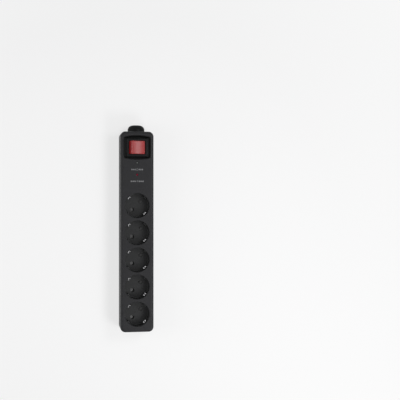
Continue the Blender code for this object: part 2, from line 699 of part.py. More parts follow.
def shutter_blade(angle, steps=3):
    """A wedge behind one pin hole, whose ramp turns the shutter when a pin presses on it."""
    half, inner = shutter_half_angle(), HUB_DIAMETER / 2 - HUB_WALL / 2
    outer = PIN_RADIUS + PIN_HOLE_DIAMETER / 2 + SHUTTER_COVER
    bm = bmesh.new()
    loops = []
    for k in range(steps + 1):
        turn = angle - half + 2 * half * k / steps
        top = SHUTTER_TOP - SHUTTER_RAMP * k / steps
        corners = ((inner, SHUTTER_UNDERSIDE), (outer, SHUTTER_UNDERSIDE), (outer, top), (inner, top))
        loops.append([bm.verts.new(polar(r, turn, z)) for r, z in corners])
    for a, b in zip(loops, loops[1:]):
        for k in range(4):
            bm.faces.new((a[k - 1], a[k], b[k], b[k - 1]))
    bm.faces.new(loops[0])
    bm.faces.new(loops[-1])
    return finished(bm)


def shutter_mesh():
    inner, outer = HUB_DIAMETER / 2 - HUB_WALL, HUB_DIAMETER / 2
    ring = [(inner, HUB_UNDERSIDE), (outer, HUB_UNDERSIDE), (outer, SHUTTER_TOP), (inner, SHUTTER_TOP)]
    blades = [shutter_blade(PIN_ANGLE), shutter_blade(PIN_ANGLE + 180)]
    return joined(turned(ring, PIN_HOLE_SIDES), together(blades))


def shutter_spring():
    """A torsion spring round the hub: one leg on the insert's peg, the other against a blade."""
    wire = SPRING_WIRE_DIAMETER / 2
    coil = HUB_DIAMETER / 2 + GAP + wire
    beside = math.degrees((PEG_DIAMETER / 2 + GAP + wire) / PEG_RADIUS)
    start = PEG_ANGLE - beside
    end = PIN_ANGLE + shutter_half_angle() + math.degrees((GAP + 2 * wire) / PEG_RADIUS)
    sweep = end - start + 720 + (360 if end - start < -180 else 0)
    low = HUB_UNDERSIDE + GAP + wire
    steps = round(sweep / 360 * TURN_POINTS)
    points = [polar(coil + SPRING_LEG_REACH, start, low), polar(coil + SPRING_LEG_REACH / 2, start, low)]
    for k in range(steps + 1):
        turned_by = sweep * k / steps
        points.append(polar(coil, start + turned_by, low + SPRING_PITCH * turned_by / 360))
    high = points[-1][2]
    points.append(polar(coil + SPRING_LEG_REACH / 3, end, high))
    points.append(polar(coil + SPRING_LEG_REACH, end, max(high, SHUTTER_UNDERSIDE + 2 * wire)))
    print("shutter spring: least gap between turns", round((SPRING_PITCH - 2 * wire) / MM, 3), "mm")
    return tube(points, wire, 0)


# Current rails


def contact_profile():
    """The section of a spring contact that grips a pin, as a path across the strip."""
    low = RAIL_UNDERSIDE + SHEET / 2
    high = BRIDGE_TOP - CONTACT_TOP_ROOM
    wide, waist = CONTACT_HALF_WIDTH, CONTACT_WAIST + SHEET / 2
    ease = SHEET
    flank = low + (high - low) * CONTACT_FLANK_SHARE
    grip = [low + (high - low) * share for share in CONTACT_GRIP_SHARES]
    half = [(wide - ease, low), (wide, low + ease), (wide, flank)]
    half += [(waist, level) for level in grip] + [(wide - ease / 3, high)]
    return [(-x, z) for x, z in half[::-1]] + half


def busbar_mesh(x, y_shift, tab_end):
    """A rail along the strip with a spring contact at every socket."""
    profile = ribbon(contact_profile(), SHEET)
    contacts = []
    for row in SOCKETS:
        shifted = [(x + u, v) for u, v in profile]
        middle = row + y_shift
        contacts.append(prism(shifted, middle - CONTACT_LENGTH / 2, middle + CONTACT_LENGTH / 2, ACROSS))
    low = RAIL_UNDERSIDE + (SHEET - RAIL_SHEET) / 2
    start = LAST_SOCKET + y_shift - CONTACT_LENGTH / 2 + SHEET
    strip = block((x - RAIL_WIDTH / 2, start, low), (x + RAIL_WIDTH / 2, tab_end, low + RAIL_SHEET))
    return joined(strip, together(contacts))


def earth_arm_path():
    """One earth bracket's section: up through the floor, bowed in to the plug and flared at its tip."""
    level, reach = BRIDGE_TOP - SHEET / 2, EARTH_ARM_RADIUS
    low, tip = WELL_FLOOR_TOP + SPACING, BODY_HEIGHT - EARTH_TIP_BELOW_FRONT
    half = arc((reach - EARTH_BEND, level + EARTH_BEND), EARTH_BEND, -90, 0, 2)
    for k in range(EARTH_BOW_STEPS + 1):
        share = k / EARTH_BOW_STEPS
        half.append((reach - EARTH_BULGE * math.sin(math.pi * share**2), low + (tip - low) * share))
    return [(-u, v) for u, v in half[::-1]] + half


def earth_rail_mesh():
    """The earth rail: a spine down the middle with a pair of sprung earth arms at every socket."""
    outline = ribbon(earth_arm_path(), SHEET)
    start, end = LAST_SOCKET - SOCKET_PITCH / 4, FIRST_SOCKET + SOCKET_PITCH / 2
    rail = block((-RAIL_WIDTH / 2, start, EARTH_SPINE_UNDERSIDE), (RAIL_WIDTH / 2, end, EARTH_SPINE_TOP))
    for row in SOCKETS:
        frame = about_z(EARTH_ANGLE, (0, row, 0)) @ ACROSS
        rail = joined(rail, prism(outline, -EARTH_ARM_WIDTH / 2, EARTH_ARM_WIDTH / 2, frame))
    return rail


# Cable gland and cord clamp


def gland_mesh():
    """A flanged neck trapped between the two covers, with a bell-mouthed bore for the cord."""
    outer, bore = NECK_DIAMETER / 2, CORD_BORE_DIAMETER / 2
    flange = outer + GAP + GLAND_FLANGE_LIP
    seat = GLAND_FLANGE_THICKNESS
    end = seat + GAP + WALL + NECK_LENGTH
    mouth = CORD_MOUTH_DIAMETER / 2
    dome, bell = arc((0, 0), 1, 0, 90, 5), arc((0, 0), 1, 90, 180, 3)
    profile = [(bore, 0), (flange, 0), (flange, seat), (outer, seat)]
    profile += [(mouth + (outer - mouth) * u, end - NECK_DOME * (1 - v)) for u, v in dome]
    profile += [(mouth + (mouth - bore) * u, end - CORD_MOUTH_DEPTH * (1 - v)) for u, v in bell[1:]]
    place = Matrix.Translation((0, BODY_TOP - WALL - GAP - seat, SEAM))
    return turned(profile, GLAND_SIDES, place @ Matrix.Rotation(-math.pi / 2, 4, "X"))


def cord_clamp_mesh():
    """A saddle that two screws pull down on the cord."""
    low = clamp_seat() + GAP
    reach = CLAMP_SCREW_SPACING / 2 + CLAMP_BOSS_DIAMETER / 2
    inner = CORD_BORE_DIAMETER / 2
    foot = low + CLAMP_THICKNESS
    over = arc((0, low), inner + CLAMP_THICKNESS, 0, 180, 10)
    under = arc((0, low), inner, 180, 0, 10)
    outline = [(reach, low), (reach, foot)] + [(u, max(v, foot)) for u, v in over[1:-1]]
    outline += [(-reach, foot), (-reach, low)] + under
    bar = prism(outline, CLAMP_Y - CLAMP_WIDTH / 2, CLAMP_Y + CLAMP_WIDTH / 2, ACROSS)
    holes = [prism(circle(CLAMP_SCREW_DIAMETER / 2 + GAP, place, SCREW_SIDES), low - GAP, BODY_HEIGHT)
             for place in clamp_places()]
    return cut(bar, together(holes))


# Switch


def switch_housing_mesh():
    place = (0, SWITCH_Y)
    box_top = BEZEL_UNDERSIDE + BEZEL_THICKNESS / 2
    body = prism(rectangle(SWITCH_OUTER_X, SWITCH_OUTER_Y, place), SWITCH_UNDERSIDE, box_top)
    width, length = SWITCH_INNER_X + 2 * BEZEL_BORDER, SWITCH_INNER_Y + 2 * (BEZEL_BORDER - GAP)
    outline = rounded_rectangle(width, length, BEZEL_BORDER / 2, place, 3)
    body = joined(body, prism(outline, BEZEL_UNDERSIDE, BEZEL_TOP, chamfer_high=BEZEL_CHAMFER))
    snap_top = SCOOP_TOP - RECESS_FLOOR - GAP
    for side in (-1, 1):
        x = side * SWITCH_OUTER_X / 2
        wedge = [(x - side * SWITCH_WALL / 2, snap_top), (x + side * SNAP_DEPTH, snap_top),
                 (x - side * SWITCH_WALL / 2, snap_top - SNAP_HEIGHT)]
        half = SWITCH_OUTER_Y / 6
        body = joined(body, prism(wedge, SWITCH_Y - half, SWITCH_Y + half, ACROSS))
    hollow = rectangle(SWITCH_INNER_X, SWITCH_INNER_Y, place)
    body = cut(body, prism(hollow, SWITCH_FLOOR_TOP, BODY_HEIGHT))
    hole = circle(TRUNNION_DIAMETER / 2 + GAP, (0, PIVOT), SMALL_SIDES)
    body = cut(body, prism(hole, SWITCH_Y - SWITCH_OUTER_Y, SWITCH_Y + SWITCH_OUTER_Y, ACROSS))
    slots = [prism(rectangle(SHEET + 2 * GAP, TERMINAL_WIDTH + 2 * GAP, (x, SWITCH_Y + y)),
                   SWITCH_UNDERSIDE - GAP, SWITCH_FLOOR_TOP + GAP) for x, y in terminal_places()]
    return cut(body, together(slots))


def terminal_places():
    return [(x, side * POLE_OFFSET) for x in (0, OUTPUT_TERMINAL_X) for side in (1, -1)]


def terminal_mesh(x, y):
    """A tab through the switch's floor: the two middle ones carry the blades, the others are struck."""
    drop = abs(x) * math.sin(math.radians(ROCKER_TILT * BLADE_TILT_RATIO))
    top = BLADE_PIVOT - SHEET / 2 - GAP - drop - (SHEET if x else 0)
    low = SWITCH_UNDERSIDE - TERMINAL_DROP
    half, ease = TERMINAL_WIDTH / 2, TERMINAL_WIDTH / 5
    right = [(half - ease, low), (half, low + ease), (half, top)]
    outline = [(SWITCH_Y + y + u, v) for u, v in right]
    outline += [(SWITCH_Y + y - u, v) for u, v in right[::-1]]
    upright = Matrix(((0, 0, 1, 0), (1, 0, 0, 0), (0, 1, 0, 0), (0, 0, 0, 1)))
    return prism(outline, x - SHEET / 2, x + SHEET / 2, upright)


def blade_mesh():
    """A seesaw contact about its own pivot, with a button at the end that strikes its terminal."""
    strip = block((-BLADE_REACH, -BLADE_WIDTH / 2, -SHEET / 2), (BLADE_TAIL, BLADE_WIDTH / 2, SHEET / 2))
    button = prism(circle(BLADE_WIDTH * 0.3, (OUTPUT_TERMINAL_X, 0), SMALL_SIDES), -SHEET, 0)
    return joined(strip, button)


def rocker_top(x, drop=0.0):
    """Height of the rocker's dished face above its pivot."""
    half = math.sqrt(ROCKER_RADIUS**2 - ROCKER_END_HEIGHT**2)
    return ROCKER_END_HEIGHT - ROCKER_DISH * max(0, 1 - (x / half) ** 2) - drop


def rocker_outline(inset, low):
    """The rocker's section: a dished face between two ends that are round about the pivot."""
    radius = ROCKER_RADIUS - inset
    high = ROCKER_END_HEIGHT - inset
    half = math.sqrt(radius**2 - high**2)
    corner = math.degrees(math.asin(high / radius))
    foot = math.degrees(math.asin(low / radius))
    face = [(half * (1 - k / 4), rocker_top(half * (1 - k / 4), inset)) for k in range(1, 8)]
    right = arc((0, 0), radius, foot, corner, ROCKER_END_STEPS)
    return right + face + [(-x, z) for x, z in right[::-1]]


def rocker_mesh():
    """The rocker about its pivot, level: a hollow cap with trunnions and two plunger tubes."""
    half = ROCKER_WIDTH / 2
    cap = prism(rocker_outline(0, -ROCKER_SKIRT), -half, half, ACROSS)
    inner = half - ROCKER_WALL
    cap = cut(cap, prism(rocker_outline(ROCKER_WALL, -ROCKER_SKIRT - ROCKER_WALL), -inner, inner, ACROSS))
    start, end = half - ROCKER_WALL / 2, SWITCH_INNER_Y / 2 + SWITCH_WALL - GAP
    pin = circle(TRUNNION_DIAMETER / 2, (0, 0), SMALL_SIDES)
    cap = joined(cap, together([prism(pin, side * start, side * end, ACROSS) for side in (-1, 1)]))
    tubes, bores = [], []
    ceiling = plunger_top() + GAP + PLUNGER_SPRING_LENGTH + GAP
    root = rocker_top(0, ROCKER_WALL / 2)
    mouth = plunger_tip() + PLUNGER_DIAMETER / 2 + SPACING
    bore = PLUNGER_DIAMETER / 2 + GAP
    for side in (-1, 1):
        place = (0, side * POLE_OFFSET)
        tubes.append(prism(circle(bore + PLUNGER_TUBE_WALL, place, SMALL_SIDES), mouth, root))
        bores.append(prism(circle(bore, place, SMALL_SIDES), mouth - SPACING, ceiling))
    return cut(joined(cap, together(tubes)), together(bores))


def plunger_tip():
    """The plungers' tips, below the rocker's pivot, just clear of the blades when level."""
    return BLADE_PIVOT + SHEET / 2 + GAP - PIVOT


def plunger_top():
    return plunger_tip() + PLUNGER_LENGTH


def plunger_mesh():
    radius = PLUNGER_DIAMETER / 2
    tip = arc((0, plunger_tip() + radius), radius, -90, 0, 4)
    return turned([(0, tip[0][1])] + tip[1:] + [(radius, plunger_top()), (0, plunger_top())], SMALL_SIDES)


def plunger_spring():
    """A coil spring between a plunger and the end of its tube."""
    wire = PLUNGER_SPRING_WIRE / 2
    radius = PLUNGER_DIAMETER / 2 - wire - GAP / 2
    low, steps = plunger_top() + GAP + wire, TURN_POINTS * PLUNGER_SPRING_TURNS
    rise = PLUNGER_SPRING_LENGTH - 2 * wire - GAP
    pitch = rise / PLUNGER_SPRING_TURNS
    print("plunger spring: least gap between turns", round((pitch - 2 * wire) / MM, 3), "mm")
    step = 360 / TURN_POINTS
    return tube([polar(radius, step * k, low + rise * k / steps) for k in range(steps + 1)], wire, 0)


def lamp_mesh():
    """A small glass lamp lying across the rocker, between its two plunger tubes."""
    radius = POLE_OFFSET - PLUNGER_DIAMETER / 2 - GAP - PLUNGER_TUBE_WALL - GAP
    half = LAMP_LENGTH / 2
    ends = arc((0, half - radius), radius, 0, 90, 4)
    profile = [(0, -half), (radius * 0.7, -half), (radius, radius * 0.3 - half)] + ends[:-1] + [(0, half)]
    frame = Matrix.Translation((0, 0, LAMP_ABOVE_PIVOT)) @ Matrix.Rotation(math.pi / 2, 4, "Y")
    return turned(profile, SMALL_SIDES, frame)


# Circuit board


def board_mesh():
    return block((-BOARD_WIDTH / 2, BOARD_LOW, BOARD_HEIGHT), (BOARD_WIDTH / 2, BOARD_HIGH, BOARD_TOP))


def varistor_mesh(row):
    """A coated disc standing on edge, flattened where it meets the board."""
    seat = BOARD_TOP + GAP
    rim = circle(VARISTOR_DIAMETER / 2, (COMPONENT_X, seat + VARISTOR_RISE), ROUND_SIDES)
    outline = [(u, max(v, seat)) for u, v in rim]
    half, ease = VARISTOR_THICKNESS / 2, VARISTOR_THICKNESS / 4
    return prism(outline, row - half, row + half, ACROSS, chamfer_high=ease, chamfer_low=ease)


def capacitor_mesh():
    x, y, z = CAPACITOR_SIZE
    seat = BOARD_TOP + GAP
    outline = rounded_rectangle(x, y, CAPACITOR_CORNER, (-COMPONENT_X, BOARD_MIDDLE), 2)
    return prism(outline, seat, seat + z, chamfer_high=CAPACITOR_CORNER / 2)


def fuse_mesh():
    """A thermal fuse lying on the board beside the varistors."""
    radius = FUSE_DIAMETER / 2
    half = FUSE_LENGTH / 2
    profile = [(0, -half), (radius / 2, -half), (radius, radius / 2 - half), (radius, half), (0, half)]
    place = Matrix.Translation((COMPONENT_X, FUSE_Y, BOARD_TOP + GAP + radius))
    return turned(profile, SMALL_SIDES, place @ Matrix.Rotation(math.pi / 2, 4, "Y"))


def led_mesh(row):
    radius, tip = LED_DIAMETER / 2, BODY_HEIGHT + LED_PROUD
    flange, low = LED_FLANGE_DIAMETER / 2, led_underside()
    step = low + LED_FLANGE_THICKNESS
    dome = arc((0, tip - radius), radius, 0, 90, 4)
    profile = [(0, low), (flange, low), (flange, step), (radius, step)]
    return turned(profile + dome[:-1] + [(0, tip)], SMALL_SIDES, Matrix.Translation((0, row, 0)))


def led_underside():
    return PLATE_UNDERSIDE - LED_SHANK


def led_spacer_mesh(row):
    outline = circle(LED_FLANGE_DIAMETER / 2, (0, row), SMALL_SIDES)
    return prism(outline, BOARD_TOP + GAP, led_underside() - GAP)


# Leads


def supply_lead(x, tab, side, pole):
    """A lead from a switch terminal, along one side under the board, on to a rail's tab."""
    radius = LEAD_DIAMETER / 2
    start = (OUTPUT_TERMINAL_X, SWITCH_Y + pole, SWITCH_UNDERSIDE - TERMINAL_DROP - GAP)
    low = RAIL_UNDERSIDE + SHEET + GAP + radius
    run = side * LEAD_SIDE_RUN
    points = [
        start,
        (start[0], start[1], low + radius),
        (start[0] + side * radius, start[1] - 3 * radius, low),
        ((start[0] + run) / 2, (start[1] + BOARD_HIGH) / 2, low),
        (run, BOARD_HIGH, low),
        (run, BOARD_MIDDLE, low),
        (run, BOARD_LOW + 2 * LEAD_DIAMETER, low),
        ((run + x) / 2, tab + 3 * LEAD_DIAMETER, low),
        (x, tab, low),
        (x, tab - RAIL_TAB / 2, low),
    ]
    return tube(smooth_route(points), radius, 2)


def board_lead(x, landing, level):
    """A lead from the circuit board's edge down to a rail."""
    radius = BOARD_LEAD_DIAMETER / 2
    seat, drop = BOARD_TOP + GAP + radius, level + GAP + radius
    fall = BOARD_LOW - 4.5 * radius
    points = [
        (x, BOARD_LOW + 6 * radius, seat),
        (x, BOARD_LOW + radius, seat + radius / 2),
        (x, BOARD_LOW - 2 * radius, seat),
        (x, fall, seat - 3 * radius),
        (x, (fall + landing) / 2, (seat + drop) / 2),
        (x, landing + 2 * radius, drop + 2 * radius),
        (x, landing - radius, drop + radius / 3),
        (x, landing - 4 * radius, drop),
    ]
    return tube(smooth_route(points), radius, 2)


# The assembly


def clear_scene():
    for obj in list(bpy.data.objects):
        bpy.data.objects.remove(obj, do_unlink=True)


def make_finishes():
    return {
        "black": material("black_plastic", (0.03, 0.03, 0.033), 0.45),
        "well": material("socket_plastic", (0.02, 0.02, 0.022), 0.4),
        "bezel": material("switch_plastic", (0.012, 0.012, 0.013), 0.3),
        "red": material("red_rocker", (0.75, 0.03, 0.03), 0.25),
        "brass": material("brass", (0.72, 0.53, 0.24), 0.3, 1.0),
        "steel": material("plated_steel", (0.7, 0.7, 0.72), 0.3, 1.0),
        "shutter": material("shutter_plastic", (0.35, 0.35, 0.36), 0.5),
        "glass": material("lamp_glass", (0.9, 0.5, 0.3), 0.1),
        "clear": material("clear_lens", (0.85, 0.88, 0.85), 0.15),
        "red_lens": material("red_lens", (0.7, 0.02, 0.08), 0.15),
        "board": material("board_laminate", (0.05, 0.22, 0.08), 0.5),
        "varistor": material("varistor_coating", (0.05, 0.15, 0.5), 0.5),
        "capacitor": material("capacitor_case", (0.75, 0.6, 0.1), 0.45),
        "spacer": material("spacer_nylon", (0.8, 0.8, 0.78), 0.5),
        "live": material("brown_insulation", (0.2, 0.08, 0.03), 0.5),
        "neutral": material("blue_insulation", (0.05, 0.15, 0.5), 0.5),
        "earth": material("green_yellow_insulation", (0.45, 0.6, 0.05), 0.5),
    }


def add_housing(finish):
    add("front_cover", front_cover_mesh(), finish["black"])
    add("rear_cover", rear_cover_mesh(), finish["black"])
    reach = SCREW_GRIP + SCREW_BITE
    screw = screw_mesh(SCREW_SHANK_DIAMETER, SCREW_HEAD_DIAMETER, SCREW_HEAD_HEIGHT, reach)
    for k, place in enumerate(SCREW_PLACES, 1):
        add(f"case_screw_{k}", screw, finish["steel"], (*place, SCREW_SEAT - GAP))
    add("cable_gland", gland_mesh(), finish["black"])
    add("cord_clamp", cord_clamp_mesh(), finish["black"])
    reach = CLAMP_THICKNESS + CLAMP_SCREW_BITE
    small = screw_mesh(CLAMP_SCREW_DIAMETER, CLAMP_HEAD_DIAMETER, CLAMP_HEAD_HEIGHT, reach)
    small.transform(Matrix.Rotation(math.pi, 4, "X"))
    seat = clamp_seat() + CLAMP_THICKNESS + 2 * GAP
    for k, place in enumerate(clamp_places(), 1):
        add(f"clamp_screw_{k}", small, finish["steel"], (*place, seat))


def add_sockets(finish):
    insert, shutter, spring = insert_mesh(), shutter_mesh(), shutter_spring()
    for k, row in enumerate(SOCKETS, 1):
        add(f"socket_insert_{k}", insert, finish["well"], (0, row, 0))
        add(f"shutter_{k}", shutter, finish["shutter"], (0, row, 0))
        add(f"shutter_spring_{k}", spring, finish["steel"], (0, row, 0))
    tab = FIRST_SOCKET + PIN_Y + CONTACT_LENGTH / 2 + RAIL_TAB
    add("live_busbar", busbar_mesh(-PIN_X, -PIN_Y, tab), finish["brass"])
    add("neutral_busbar", busbar_mesh(PIN_X, PIN_Y, tab), finish["brass"])
    add("earth_rail", earth_rail_mesh(), finish["steel"])


def add_switch(finish):
    add("switch_housing", switch_housing_mesh(), finish["bezel"])
    rocker_axis = pivot("rocker_axis", (0, SWITCH_Y, PIVOT), ROCKER_TILT)
    add("switch_rocker", rocker_mesh(), finish["red"], parent=rocker_axis)
    add("neon_lamp", lamp_mesh(), finish["glass"], parent=rocker_axis)
    blade_axis = pivot("blade_axis", (0, SWITCH_Y, BLADE_PIVOT), -ROCKER_TILT * BLADE_TILT_RATIO)
    plunger, coil, blade = plunger_mesh(), plunger_spring(), blade_mesh()
    for k, side in enumerate((1, -1), 1):
        place = (0, side * POLE_OFFSET, 0)
        add(f"rocker_plunger_{k}", plunger, finish["spacer"], place, rocker_axis)
        add(f"plunger_spring_{k}", coil, finish["steel"], place, rocker_axis)
        add(f"contact_blade_{k}", blade, finish["brass"], place, blade_axis)
    for k, (x, y) in enumerate(terminal_places(), 1):
        add(f"switch_terminal_{k}", terminal_mesh(x, y), finish["brass"])


def add_board(finish):
    add("circuit_board", board_mesh(), finish["board"])
    first = LAST_VARISTOR + VARISTOR_PITCH * (VARISTOR_COUNT - 1)
    for k in range(VARISTOR_COUNT):
        add(f"varistor_{k + 1}", varistor_mesh(first - k * VARISTOR_PITCH), finish["varistor"])
    add("film_capacitor", capacitor_mesh(), finish["capacitor"])
    add("thermal_fuse", fuse_mesh(), finish["spacer"])
    rows = {"power": BODY_TOP - POWER_LED_FROM_END, "surge": BODY_TOP - SURGE_LED_FROM_END}
    for name, lens in (("power", "clear"), ("surge", "red_lens")):
        add(f"{name}_led", led_mesh(rows[name]), finish[lens])
        add(f"{name}_led_spacer", led_spacer_mesh(rows[name]), finish["spacer"])


def add_leads(finish):
    tab = FIRST_SOCKET + PIN_Y + CONTACT_LENGTH / 2 + RAIL_TAB
    beside = (LEAD_DIAMETER + BOARD_LEAD_DIAMETER) / 2 + GAP
    add("live_lead", supply_lead(-PIN_X - beside / 2, tab, -1, POLE_OFFSET), finish["live"])
    add("neutral_lead", supply_lead(PIN_X + beside / 2, tab, 1, -POLE_OFFSET), finish["neutral"])
    rail = RAIL_UNDERSIDE + SHEET
    add("board_live_lead", board_lead(beside / 2 - PIN_X, tab - RAIL_TAB / 2, rail), finish["live"])
    add("board_neutral_lead", board_lead(PIN_X - beside / 2, tab - RAIL_TAB / 2, rail), finish["neutral"])
    end = FIRST_SOCKET + SOCKET_PITCH / 2 - RAIL_TAB
    add("board_earth_lead", board_lead(0, end, EARTH_SPINE_TOP), finish["earth"])


def main():
    clear_scene()
    finish = make_finishes()
    add_housing(finish)
    add_sockets(finish)
    add_switch(finish)
    add_board(finish)
    add_leads(finish)


main()
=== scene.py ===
"""Looks of the surge protector strip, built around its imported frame.

Units are metres. The strip lies on its back: +Z points out of the socket face, +Y towards the
switch end and +X across.
"""

import json
import math

import bmesh
import bpy
from mathutils import Matrix, Vector


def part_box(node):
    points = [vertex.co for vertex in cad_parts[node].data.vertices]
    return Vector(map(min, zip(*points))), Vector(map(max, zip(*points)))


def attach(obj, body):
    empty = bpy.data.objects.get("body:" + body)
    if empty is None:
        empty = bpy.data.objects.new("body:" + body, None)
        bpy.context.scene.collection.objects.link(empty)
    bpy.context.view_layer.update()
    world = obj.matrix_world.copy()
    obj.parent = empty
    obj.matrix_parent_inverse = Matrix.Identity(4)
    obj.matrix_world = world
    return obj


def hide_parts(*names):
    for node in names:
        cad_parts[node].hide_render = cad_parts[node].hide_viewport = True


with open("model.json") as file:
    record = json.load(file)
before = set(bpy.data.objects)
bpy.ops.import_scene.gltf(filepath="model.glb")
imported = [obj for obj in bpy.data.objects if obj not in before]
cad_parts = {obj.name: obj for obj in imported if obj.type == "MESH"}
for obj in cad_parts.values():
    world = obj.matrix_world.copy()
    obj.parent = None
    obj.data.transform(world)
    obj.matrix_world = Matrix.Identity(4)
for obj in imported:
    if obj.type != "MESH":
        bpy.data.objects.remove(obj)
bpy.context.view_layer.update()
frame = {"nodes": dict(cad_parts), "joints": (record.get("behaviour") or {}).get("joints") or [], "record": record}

MM = 0.001

# Places read from the frame
FRONT_LOW, FRONT_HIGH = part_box("front_cover")
REAR_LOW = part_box("rear_cover")[0]
SWITCH_LOW, SWITCH_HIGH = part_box("switch_housing")
GLAND_LOW, GLAND_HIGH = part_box("cable_gland")
EARTH_LOW, EARTH_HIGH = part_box("earth_rail")
INSERT_LOW, INSERT_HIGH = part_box("socket_insert_1")
JOINTS = {joint["name"]: joint for joint in frame["joints"]}
MOUNTS = {mount["name"]: mount for mount in frame["record"]["mounts"]}
NODE_SLOTS = {row["node"]: row["material_slot"] for row in frame["record"]["subparts"]}
SOCKET_COUNT = sum(name.startswith("socket_insert_") for name in NODE_SLOTS)
SCREW_COUNT = sum(name.startswith("case_screw_") for name in NODE_SLOTS)


def middle(node):
    low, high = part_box(node)
    return (low + high) / 2


SOCKETS = [middle(f"socket_insert_{k}").y for k in range(1, SOCKET_COUNT + 1)]
SCREWS = [middle(f"case_screw_{k}") for k in range(1, SCREW_COUNT + 1)]
ROCKER_AXIS = Vector(JOINTS["rocker_tilt"]["pos_m"])
BODY_WIDTH = FRONT_HIGH.x - FRONT_LOW.x
BODY_LENGTH = FRONT_HIGH.y - FRONT_LOW.y
BODY_CENTRE = (0, (FRONT_LOW.y + FRONT_HIGH.y) / 2)
FRONT = FRONT_HIGH.z
FLOOR_TOP = MOUNTS["socket_1_floor"]["pos_m"][2]

# Housing
WALL = 2.2 * MM
PLATE = 2.4 * MM
BACK = 2.2 * MM
CORNER_RADIUS = 8.0 * MM
SHOULDER_RADIUS = 4.0 * MM
SEAM_GAP = 0.3 * MM
SEAM_EASE = 0.35 * MM
BACK_EASE = 1.0 * MM
LAP_HEIGHT = 1.9 * MM
LAP_THICKNESS = 0.95 * MM
GAP = 0.3 * MM
SPARE = 1.0 * MM
SEAM = FRONT_LOW.z - SEAM_GAP / 2
PLATE_UNDERSIDE = FRONT - PLATE

# Sockets
OPENING_RADIUS = 19.7 * MM
OPENING_EASE = 0.7 * MM
WELL_RADIUS = 19.5 * MM
CUP_WALL = 1.5 * MM
FLOOR_EASE = 1.2 * MM
FLOOR_THICKNESS = 2.0 * MM
PIN_RADIUS = 9.5 * MM
PIN_HOLE_RADIUS = 3.1 * MM
PIN_HOLE_EASE = 0.6 * MM
PIN_ANGLE = 45.0
RIB_WIDTH = 5.0 * MM
RIB_DEPTH = 2.1 * MM
RIB_TOP = FRONT - PLATE - 4.2 * MM
RIB_EASE = 0.6 * MM
INSERT_CORNER = 1.3 * MM

# Earth contacts
SHEET = 0.8 * MM
SHEET_EASE = 0.15 * MM
ARM_RADIUS = 18.4 * MM
ARM_WIDTH = 6.0 * MM
ARM_BULGE = 2.2 * MM
ARM_KNEE = 3
ARM_BEND = 1.6 * MM
ARM_TIP_TAPER = 0.2
ARM_SLIT = 1.7 * MM
ARM_SLIT_LENGTH = 7.5 * MM
NOTCH_SILL = 4.0 * MM
SPINE_WIDTH = 5.0 * MM

# Switch
RECESS_WIDTH = 41.5 * MM
RECESS_LENGTH = 31.6 * MM
RECESS_BULGE = 2.5 * MM
RECESS_CORNER = 3.0 * MM
RECESS_DEPTH = 4.0 * MM
RECESS_FLOOR = 1.4 * MM
RECESS_EASE = 0.6 * MM
TRAY_RIM = 0.8 * MM
TRAY_GAP = 0.12 * MM
SCOOP_DEPTH = 9.0 * MM
SCOOP_START = 0.5 * MM
WINDOW_X = 29.2 * MM
WINDOW_Y = 24.2 * MM
BEZEL_THICKNESS = 1.7 * MM
BEZEL_CORNER = 1.6 * MM
BEZEL_EASE = 0.8 * MM
BEZEL_LIP = 0.35 * MM
SWITCH_WALL = 1.1 * MM
ROCKER_RADIUS = 12.9 * MM
ROCKER_WIDTH = 20.8 * MM
ROCKER_END_HEIGHT = 7.8 * MM
ROCKER_DISH = 1.0 * MM
ROCKER_SKIRT = 4.4 * MM
ROCKER_WALL = 1.5 * MM
ROCKER_TILT = 12.0
ROCKER_EASE = 0.7 * MM

# Cable gland
NECK_RADIUS = 13.5 * MM
NECK_DOME = 7.5 * MM
FLANGE_THICKNESS = 2.0 * MM
MOUTH_RADIUS = 5.4 * MM
MOUTH_DEPTH = 3.0 * MM
BORE_RADIUS = 4.7 * MM

# Lamps, screws and keyholes
LED_RADIUS = 1.5 * MM
LED_FLANGE_RADIUS = 1.9 * MM
LED_FLANGE = 1.0 * MM
LED_HOLE_EASE = 0.25 * MM
HEAD_RADIUS = 2.8 * MM
HEAD_HEIGHT = 1.9 * MM
SHANK_RADIUS = 1.4 * MM
CROSS_LENGTH = 3.2 * MM
CROSS_WIDTH = 0.7 * MM
CROSS_DEPTH = 1.1 * MM
COUNTERBORE_RADIUS = 3.1 * MM
BOSS_RADIUS = 4.4 * MM
KEYHOLE_HEAD = 8.0 * MM
KEYHOLE_SLOT = 4.6 * MM
KEYHOLE_TRAVEL = 9.0 * MM
KEYHOLE_ROOM = 3.4 * MM
KEYHOLE_WALL = 1.2 * MM

# Printed marks
INK = 0.04 * MM
MARK_BELOW_LAMP = 10.6 * MM
BAR_COUNT = 3
BAR_START = 3.4 * MM
BAR_HEIGHT = 2.2 * MM
BAR_GAP = 0.7 * MM
POWER_BAR_WIDTH = 1.8 * MM
SURGE_BAR_WIDTH = 2.2 * MM
SIGN_RADIUS = 1.5 * MM
SIGN_STROKE = 0.5 * MM
SIGN_GAP_ANGLE = 60.0
SIGN_STEM = 1.8 * MM
SIGN_STEM_MIDDLE = 1.2 * MM
BOLT = [(0.5, 2.0), (-1.1, -0.3), (-0.1, -0.3), (-0.6, -2.0), (1.1, 0.4), (0.1, 0.4), (1.1, 2.0)]

# Facets
ROUND_SIDES = 96
SMALL_SIDES = 40
EASE_STEPS = 6
CORNER_STEPS = 12
MARK_STEPS = 3
SIGN_STEPS = 24
DOME_STEPS = 16
BELL_STEPS = 10
ARM_STEPS = 24
ARM_BEND_STEPS = 8
ROCKER_END_STEPS = 10
ROCKER_FACE_STEPS = 12
MERGE_DISTANCE = 0.002 * MM

# Profiles drawn upright: across the strip, then up
ACROSS = Matrix(((1, 0, 0, 0), (0, 0, 1, 0), (0, 1, 0, 0), (0, 0, 0, 1)))


# Outlines


